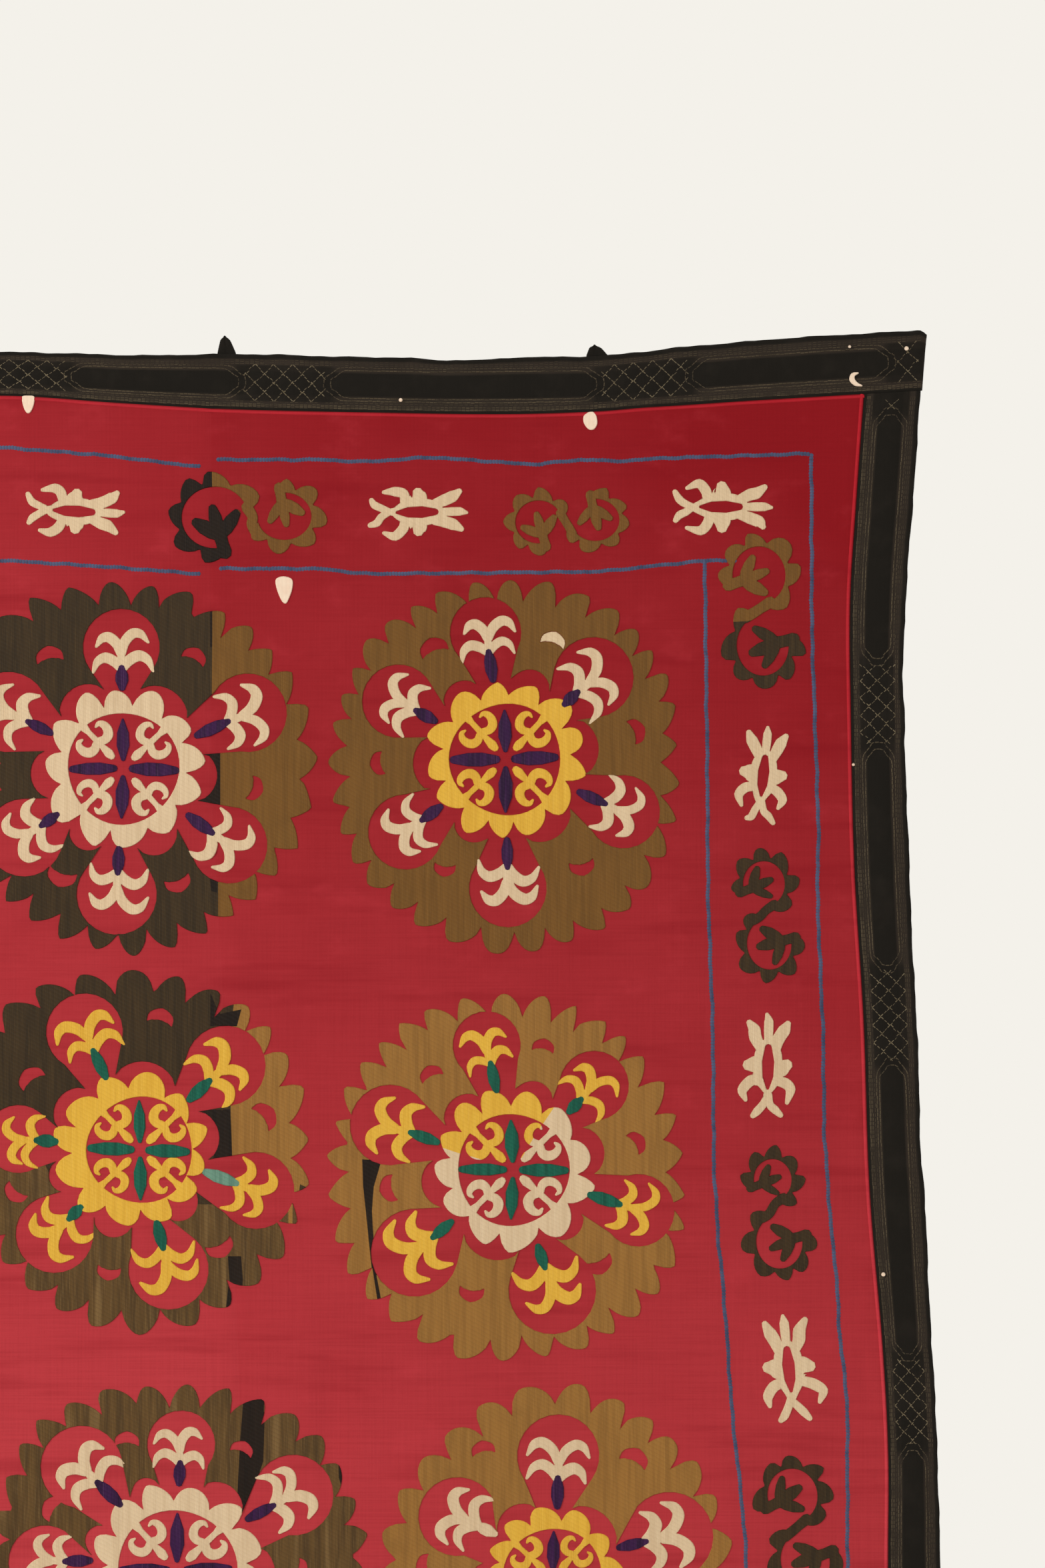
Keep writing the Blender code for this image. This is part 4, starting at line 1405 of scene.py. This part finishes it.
VINE_SCROLLS = table(
    VineScroll,
    (104, -184, 1, 1.22, "black_brown", "light_olive", 1.18),
    (468, -189, 2, 1.0, "light_olive", "light_olive"),
    (-292, -190, 2, 1.0, "light_olive", "light_olive"),
    (-640, -186, 1, 1.0, "dark_olive", "dark_olive"),
    (716, -249, -87, 1.24, "light_olive", "dark_olive"),
    (721.5, -596, -85, 1.06, "dark_olive", "dark_olive", 0.92),
    (731, -928, -84, 1.10, "dark_olive", "dark_olive", 0.80),
    (753, -1282, -79, 1.16, "dark_olive", "dark_olive"),
    (756, -1645, -90, 1.08, "light_olive", "dark_olive"),
    (752, -2000, -92, 1.08, "dark_olive", "dark_olive"),
    (-708, -470, -89, 1.1, "dark_olive", "dark_olive"),
    (-690, -820, -87, 1.1, "light_olive", "dark_olive"),
    (-668, -1180, -86, 1.1, "dark_olive", "dark_olive"),
    (-648, -1560, -89, 1.1, "dark_olive", "light_olive"),
    (-642, -1930, -90, 1.1, "dark_olive", "dark_olive"),
    (392, -2092, 183, 1.0, "light_olive", "light_olive"),
    (14, -2096, 180, 1.0, "dark_olive", "dark_olive"),
    (-360, -2094, 182, 1.0, "light_olive", "dark_olive"),
)


def palmette(number, motif):
    """A palmette with three fingers, two lobes, a pair of horns, a forked foot and a slit."""
    rng = np.random.default_rng(100 + number)

    def uneven(points):
        return [(u + rng.uniform(-1.7, 1.7), v + rng.uniform(-1.7, 1.7)) for u, v in points]

    half = [(36, 12), (54, 15), (71, 13)]
    body = smooth_line([(23, 0), *half, (84, 0), *mirrored(half[::-1])], 5, True)
    finger = stroke([(78, 0), (91, 0), (101, 0), (108, rng.uniform(-2, 2))], [4.4, 5.2, 5.0, 2.2])
    parts = [body, finger]
    for points, widths, reach in (
        ([(72, 8), (83, 12), (93, 16), (100, 21)], [5.4, 6.8, 6.8, 3.6], 1.0),
        ([(53, 10), (54, 16), (55, 21)], [10.5, 9.5, 6.5], 1.0),
        ([(39, 10), (36, 19), (28, 25), (16, 22)], [5.4, 6.0, 5.6, 2.4], motif.horn),
        ([(38, 8), (28, 3), (20, 0)], [4.8, 4.2, 3.6], 1.0),
        ([(22, 0), (13, 4), (6, 10), (1, 15)], [3.8, 4.4, 4.6, 3.2], 1.0),
    ):
        parts.append(stroke(uneven(points), widths))
        parts.append(stroke(uneven([(u, v * reach) for u, v in mirrored(points)]), widths))
    slit = stroke([(30, 0), (42, 0), (58, 0), (73, 0)], [1.6, 5.6, 6.4, 3.6])
    centre = [outline - PALMETTE_MIDDLE for outline in parts]
    layers = [
        Layer(True, placed(centre, *motif[:4])),
        Layer(False, placed([slit - PALMETTE_MIDDLE], *motif[:4])),
    ]
    embroidery(f"palmette_{number:02d}", layers, ["cream"])


TOOTH_GAP = 0.02


def toothed_arc(centre, radii, start, end, teeth, rng, band=4.4, depth=9.6):
    """A band round part of an oval, from one angle to another, with uneven teeth on its outside."""
    edges = start + (end - start) * uneven_shares(rng, 0.2, teeth)
    outer = []
    for low, high in zip(edges, edges[1:]):
        u = np.linspace(0, 1, 9)
        rise = tooth_rise(u, rng.uniform(0.22, 0.78), rng.uniform(1.3, 2.2), 0.95)
        rise = depth * rng.uniform(0.8, 1.25) * rise
        angle = low + (high - low) * (TOOTH_GAP + (1 - 2 * TOOTH_GAP) * u)
        outer.append(polar(1.0, angle) * (np.array(radii) + band) + polar(rise, angle))
    angle = np.linspace(end, start, 30)
    inner = polar(1.0, angle) * np.array(radii)
    return np.vstack([*outer, polar(1.0, [end]) * (np.array(radii) + band), inner]) + centre


def trident(foot, turn, size, rng):
    """Three leaves that spread from the top of a short stalk."""
    run = spoke(1.0, turn)
    node = foot + run * 11 * size
    parts = [stroke([foot - run * 3, (foot + node) / 2, node + run * 5], np.array([6.0, 5.4, 6.0]) * size)]
    for lean, length in ((-46, 24), (3, 25), (50, 24)):
        leaf = spoke(1.0, turn + lean + rng.uniform(-7, 7))
        line = [node + leaf * length * size * share for share in (0.0, 0.35, 0.7, 1.0)]
        parts.append(stroke(line, np.array([3.6, 5.6, 5.6, 3.8]) * size * rng.uniform(0.9, 1.15)))
    return parts


RING_SPAN = 64.0


def vine_scroll(number, row):
    """Two toothed rings joined in an S, each with three leaves that grow from its end."""
    rng = np.random.default_rng(200 + number)
    left, right = np.array([0.0, 0.0]), np.array([RING_SPAN, 0.0])
    left_radii = np.array([26.0, 24.0]) * row.swell
    right_radii = np.array([27.0, 23.5]) / max(row.swell, 1.0) ** 0.5
    rings = (
        (toothed_arc(left, left_radii, 12, 290, 6, rng), left, left_radii, 284),
        (toothed_arc(right, right_radii, 194, 464, 6, rng), right, right_radii, 458),
    )
    joint = [left_radii[0] - 1, 9], [left_radii[0] + 4, 0], [34, -7], [38, -15]
    joint = stroke(joint, [5.4, 4.8, 5.0, 5.2])
    colours = [row.second] + ([row.first] if row.first != row.second else [])
    fills = [joint]
    for arc, centre, radii, end in rings:
        fills.append(arc)
        foot = centre + spoke(1.0, end) * (radii + 2.0)
        inwards = math.degrees(math.atan2(*(centre - foot)[::-1]))
        fills += trident(foot, inwards, rng.uniform(0.92, 1.02) * min(radii[0] / 26.5, 1.1), rng)
    half = np.array([(-60.0, 60), (-60, -60), (41, -60), (41, 60)])
    if row.swell > 1:
        half = np.array([(-60.0, 60), (-60, -60), (24, -60), (24, 3), (10, 25), (-2, 26), (-2, 60)])
    zones = [Zone("", 1, placed([half], *row[:4])[0])] if len(colours) > 1 else []
    embroidery(f"vine_scroll_{number:02d}", [Layer(True, placed(fills, *row[:4]))], colours, zones)


# Blue chain-stitch lines, through (x, z) places in millimetres.
BLUE_LINES = (
    ((-778, -114), (-600, -120), (-400, -113), (-138, -105), (-20, -114), (87, -127)),
    ((106, -119), (222, -119), (274, -121.5), (346, -116), (462, -124.5), (522, -118.5), (552, -121),
     (612, -117), (687, -115), (773, -112)),
    ((775, -112), (775.5, -307), (783, -539), (781.5, -607), (785, -697), (788, -764), (789, -877),
     (797, -989), (802, -1027), (806, -1102), (814.5, -1177), (814.5, -1366), (812, -1700), (806, -2155)),
    ((-655, -240), (-400, -236), (-138, -232), (-10, -240), (87, -247.5)),
    ((109, -241.5), (222, -241.5), (274, -247.5), (537, -245), (597, -238.5), (655, -232.5), (690, -232)),
    ((655, -233), (658, -464), (658.5, -607), (661.5, -689), (664, -764), (665, -914), (670.5, -1004),
     (673.5, -1027), (679.5, -1102), (685.5, -1192), (697, -1297), (701, -1349), (703, -1700), (697, -2034)),
    ((-778, -114), (-768, -466), (-752, -892), (-730, -1352), (-712, -1807), (-705, -2155)),
    ((-655, -240), (-648, -466), (-633, -892), (-602, -1352), (-582, -1807), (-575, -2034)),
    ((-705, -2155), (-400, -2158), (50, -2161), (500, -2157), (806, -2155)),
    ((-575, -2034), (-300, -2036), (50, -2040), (400, -2036), (697, -2034)),
)


LINK_PITCH = 0.0034
LINK_LENGTH = 0.0046
LINK_HALF_WIDTH = 0.0025
LINK_HEIGHT = 0.0009
LINK_SLIP = 0.00012


def eased_line(points, step=0.001, reach=18):
    """A line through a few places, with a point at every step and its bends eased over a short reach."""
    lengths = lengths_along(points)
    line = points_at(points, lengths, np.linspace(0, lengths[-1], round(lengths[-1] / step)))
    before = 2 * line[0] - line[reach:0:-1]
    after = 2 * line[-1] - line[-2:-reach - 2:-1]
    padded = np.vstack([before, line, after])
    window = np.hanning(2 * reach + 3)[1:-1]
    return np.column_stack([np.convolve(padded[:, k], window / window.sum(), "valid") for k in (0, 1)])


def chain_lines():
    """Chain stitch along every blue line, each link a small raised drop."""
    paths = []
    for line in BLUE_LINES:
        points = eased_line(np.array(line, float) * MM)
        drift = np.arange(len(points)) / 1.3
        points[:, 1] += 0.0007 * np.sin(drift * 0.21) * np.sin(drift * 0.057 + 1)
        points[:, 0] += 0.0007 * np.sin(drift * 0.17 + 2) * np.sin(drift * 0.061)
        paths.append(Path(points, np.full(len(points), GROUND_HALF)))
    place = (LINK_PITCH, LINK_LENGTH, LINK_HALF_WIDTH, LINK_HEIGHT, LINK_SLIP)
    stitches("blue_chain_lines", paths, BLUE_THREAD, "blue_thread", *place, form=CHAIN_LINK)
    back = on_the_back(paths, GROUND_HALF)
    stitches("blue_lines_reverse", back, BLUE_THREAD, "blue_thread", 0.0052, 0.0036, 0.0009, -0.0005)


# Small cream patches on the ground, and ends of white thread on the binding.


def patches():
    shield = [(-7, 9), (0, 10.5), (7, 9), (6, -1), (3, -8), (0, -10), (-3, -8), (-6, -1)]
    oval = [(0, 10), (-6.5, 7), (-8, -1), (-4, -9), (2, -10.5), (7, -5), (7.5, 4), (5, 9)]
    tear = [(-9, 13), (0, 16), (9.5, 12), (9, 1), (4, -11), (0.5, -15), (-4, -11), (-8.5, 2)]
    spots = []
    for points, place in ((shield, (-106, -57, 0)), (oval, (526.5, -75, 8)), (tear, (182, -266, 3))):
        spots += placed([smooth_line(points, 4, True)], *place)
    embroidery("cream_patches", [Layer(True, spots)], ["patch"], height=0.0014, back=False)
    hook = [stroke([(2, 6), (-3, 4), (-4, -1), (0, -5.5), (6, -7.5)], [1.0, 2.4, 3.0, 2.4, 1.0])]
    dot = [polar(1.7, np.arange(0, 360, 40.0))]
    ends = placed(hook, 825, -28, 0, 1.05)
    for x, z, size in ((818, 8, 1.0), (882, 6, 1.5), (313, -52, 1.3), (855, -1034, 1.4), (822, -462, 1.0)):
        ends += placed(dot, x, z, 0, size)
    embroidery("white_thread_ends", [Layer(True, ends)], ["patch"], height=0.0012,
               base=BINDING_HALF + 0.0012, back=False)


def build_cloth():
    # The left and middle panels take the lighter red, painted light.
    panel("red_panel_left", 1, "panel_left", RED_COTTON_LIT)
    panel("red_panel_middle", 2, "panel_middle", RED_COTTON_LIT)
    panel("red_panel_right", 3, "panel_right", RED_COTTON)
    for strip in STRIPS:
        binding(strip)
        quilting(strip)
    for number, loop in enumerate(HANGING_LOOPS, 1):
        tape_loop(number, loop)
    red_fold()


def build_embroidery():
    for seed, row in enumerate(ROSETTES):
        rosette(seed, row)
    for number, motif in enumerate(PALMETTES, 1):
        palmette(number, motif)
    for number, row in enumerate(VINE_SCROLLS, 1):
        vine_scroll(number, row)
    chain_lines()
    patches()


# The stage: a pale floor, soft light and the camera.

VIEW_CENTRE = (0.450, -0.48375)
VIEW_HEIGHT = 1.764
CAMERA_DISTANCE = 5.0
SENSOR_HEIGHT = 24.0
FLOOR_Z = -2.42
FLOOR_HALF = 2.2
AMBIENT = 0.64


def pale_floor():
    nodes = Nodes("pale_floor_paint", roughness=0.8, specular=0.2)
    mottle = nodes.noise(2.0, 2.0, 2.0, 4.0)
    nodes.colour(nodes.mix(mottle, linear(236, 233, 226), linear(228, 224, 216)))
    nodes.bump(nodes.noise(40.0, 40.0, 40.0, 3.0), 0.0004, 0.3)
    corners = [(x * FLOOR_HALF, y * FLOOR_HALF, FLOOR_Z) for x, y in ((-1, -1), (1, -1), (1, 1), (-1, 1))]
    mesh = bpy.data.meshes.new("pale_floor")
    mesh.from_pydata(corners, [], [(0, 1, 2, 3)])
    mesh.materials.append(nodes.material)
    floor = bpy.data.objects.new("pale_floor", mesh)
    bpy.context.scene.collection.objects.link(floor)


def area_light(name, place, target, size, power, colour):
    data = bpy.data.lights.new(name, "AREA")
    data.shape = "RECTANGLE"
    data.size, data.size_y = size
    data.energy = power
    data.color = colour
    light = bpy.data.objects.new(name, data)
    light.location = place
    light.rotation_euler = (Vector(target) - Vector(place)).to_track_quat("-Z", "Y").to_euler()
    bpy.context.scene.collection.objects.link(light)


def build_stage():
    pale_floor()
    world = bpy.data.worlds.new("pale_studio")
    world.use_nodes = True
    tree = world.node_tree
    seen = tree.nodes["Background"]
    seen.inputs["Color"].default_value = linear(244, 241, 234)
    lighting = tree.nodes.new("ShaderNodeBackground")
    lighting.inputs["Color"].default_value = linear(244, 241, 234)
    lighting.inputs["Strength"].default_value = AMBIENT
    which = tree.nodes.new("ShaderNodeLightPath").outputs["Is Camera Ray"]
    mixed = tree.nodes.new("ShaderNodeMixShader")
    tree.links.new(which, mixed.inputs["Fac"])
    tree.links.new(lighting.outputs[0], mixed.inputs[1])
    tree.links.new(seen.outputs[0], mixed.inputs[2])
    tree.links.new(mixed.outputs[0], tree.nodes["World Output"].inputs["Surface"])
    bpy.context.scene.world = world
    area_light("soft_key", (-3.4, -2.6, 0.9), (0.2, 0.0, -0.9), (1.3, 1.3), 136.0, (1.0, 0.985, 0.96))
    area_light("soft_fill", (3.2, -3.2, 0.2), (0.2, 0.0, -1.0), (2.4, 2.4), 28.0, (0.97, 0.985, 1.0))
    area_light("soft_back", (1.6, 3.2, 1.0), (0.0, 0.0, -1.1), (2.0, 2.0), 110.0, (1.0, 1.0, 1.0))
    data = bpy.data.cameras.new("photo_view")
    data.sensor_fit = "VERTICAL"
    data.sensor_height = SENSOR_HEIGHT
    data.lens = SENSOR_HEIGHT * CAMERA_DISTANCE / VIEW_HEIGHT
    camera = bpy.data.objects.new("photo_view", data)
    camera.location = (VIEW_CENTRE[0], -CAMERA_DISTANCE, VIEW_CENTRE[1])
    camera.rotation_euler = (math.radians(90), 0.0, 0.0)
    bpy.context.scene.collection.objects.link(camera)
    bpy.context.scene.camera = camera
    bpy.context.scene.view_settings.view_transform = "Standard"
    bpy.context.scene.view_settings.look = "None"


build_cloth()
build_embroidery()
build_stage()
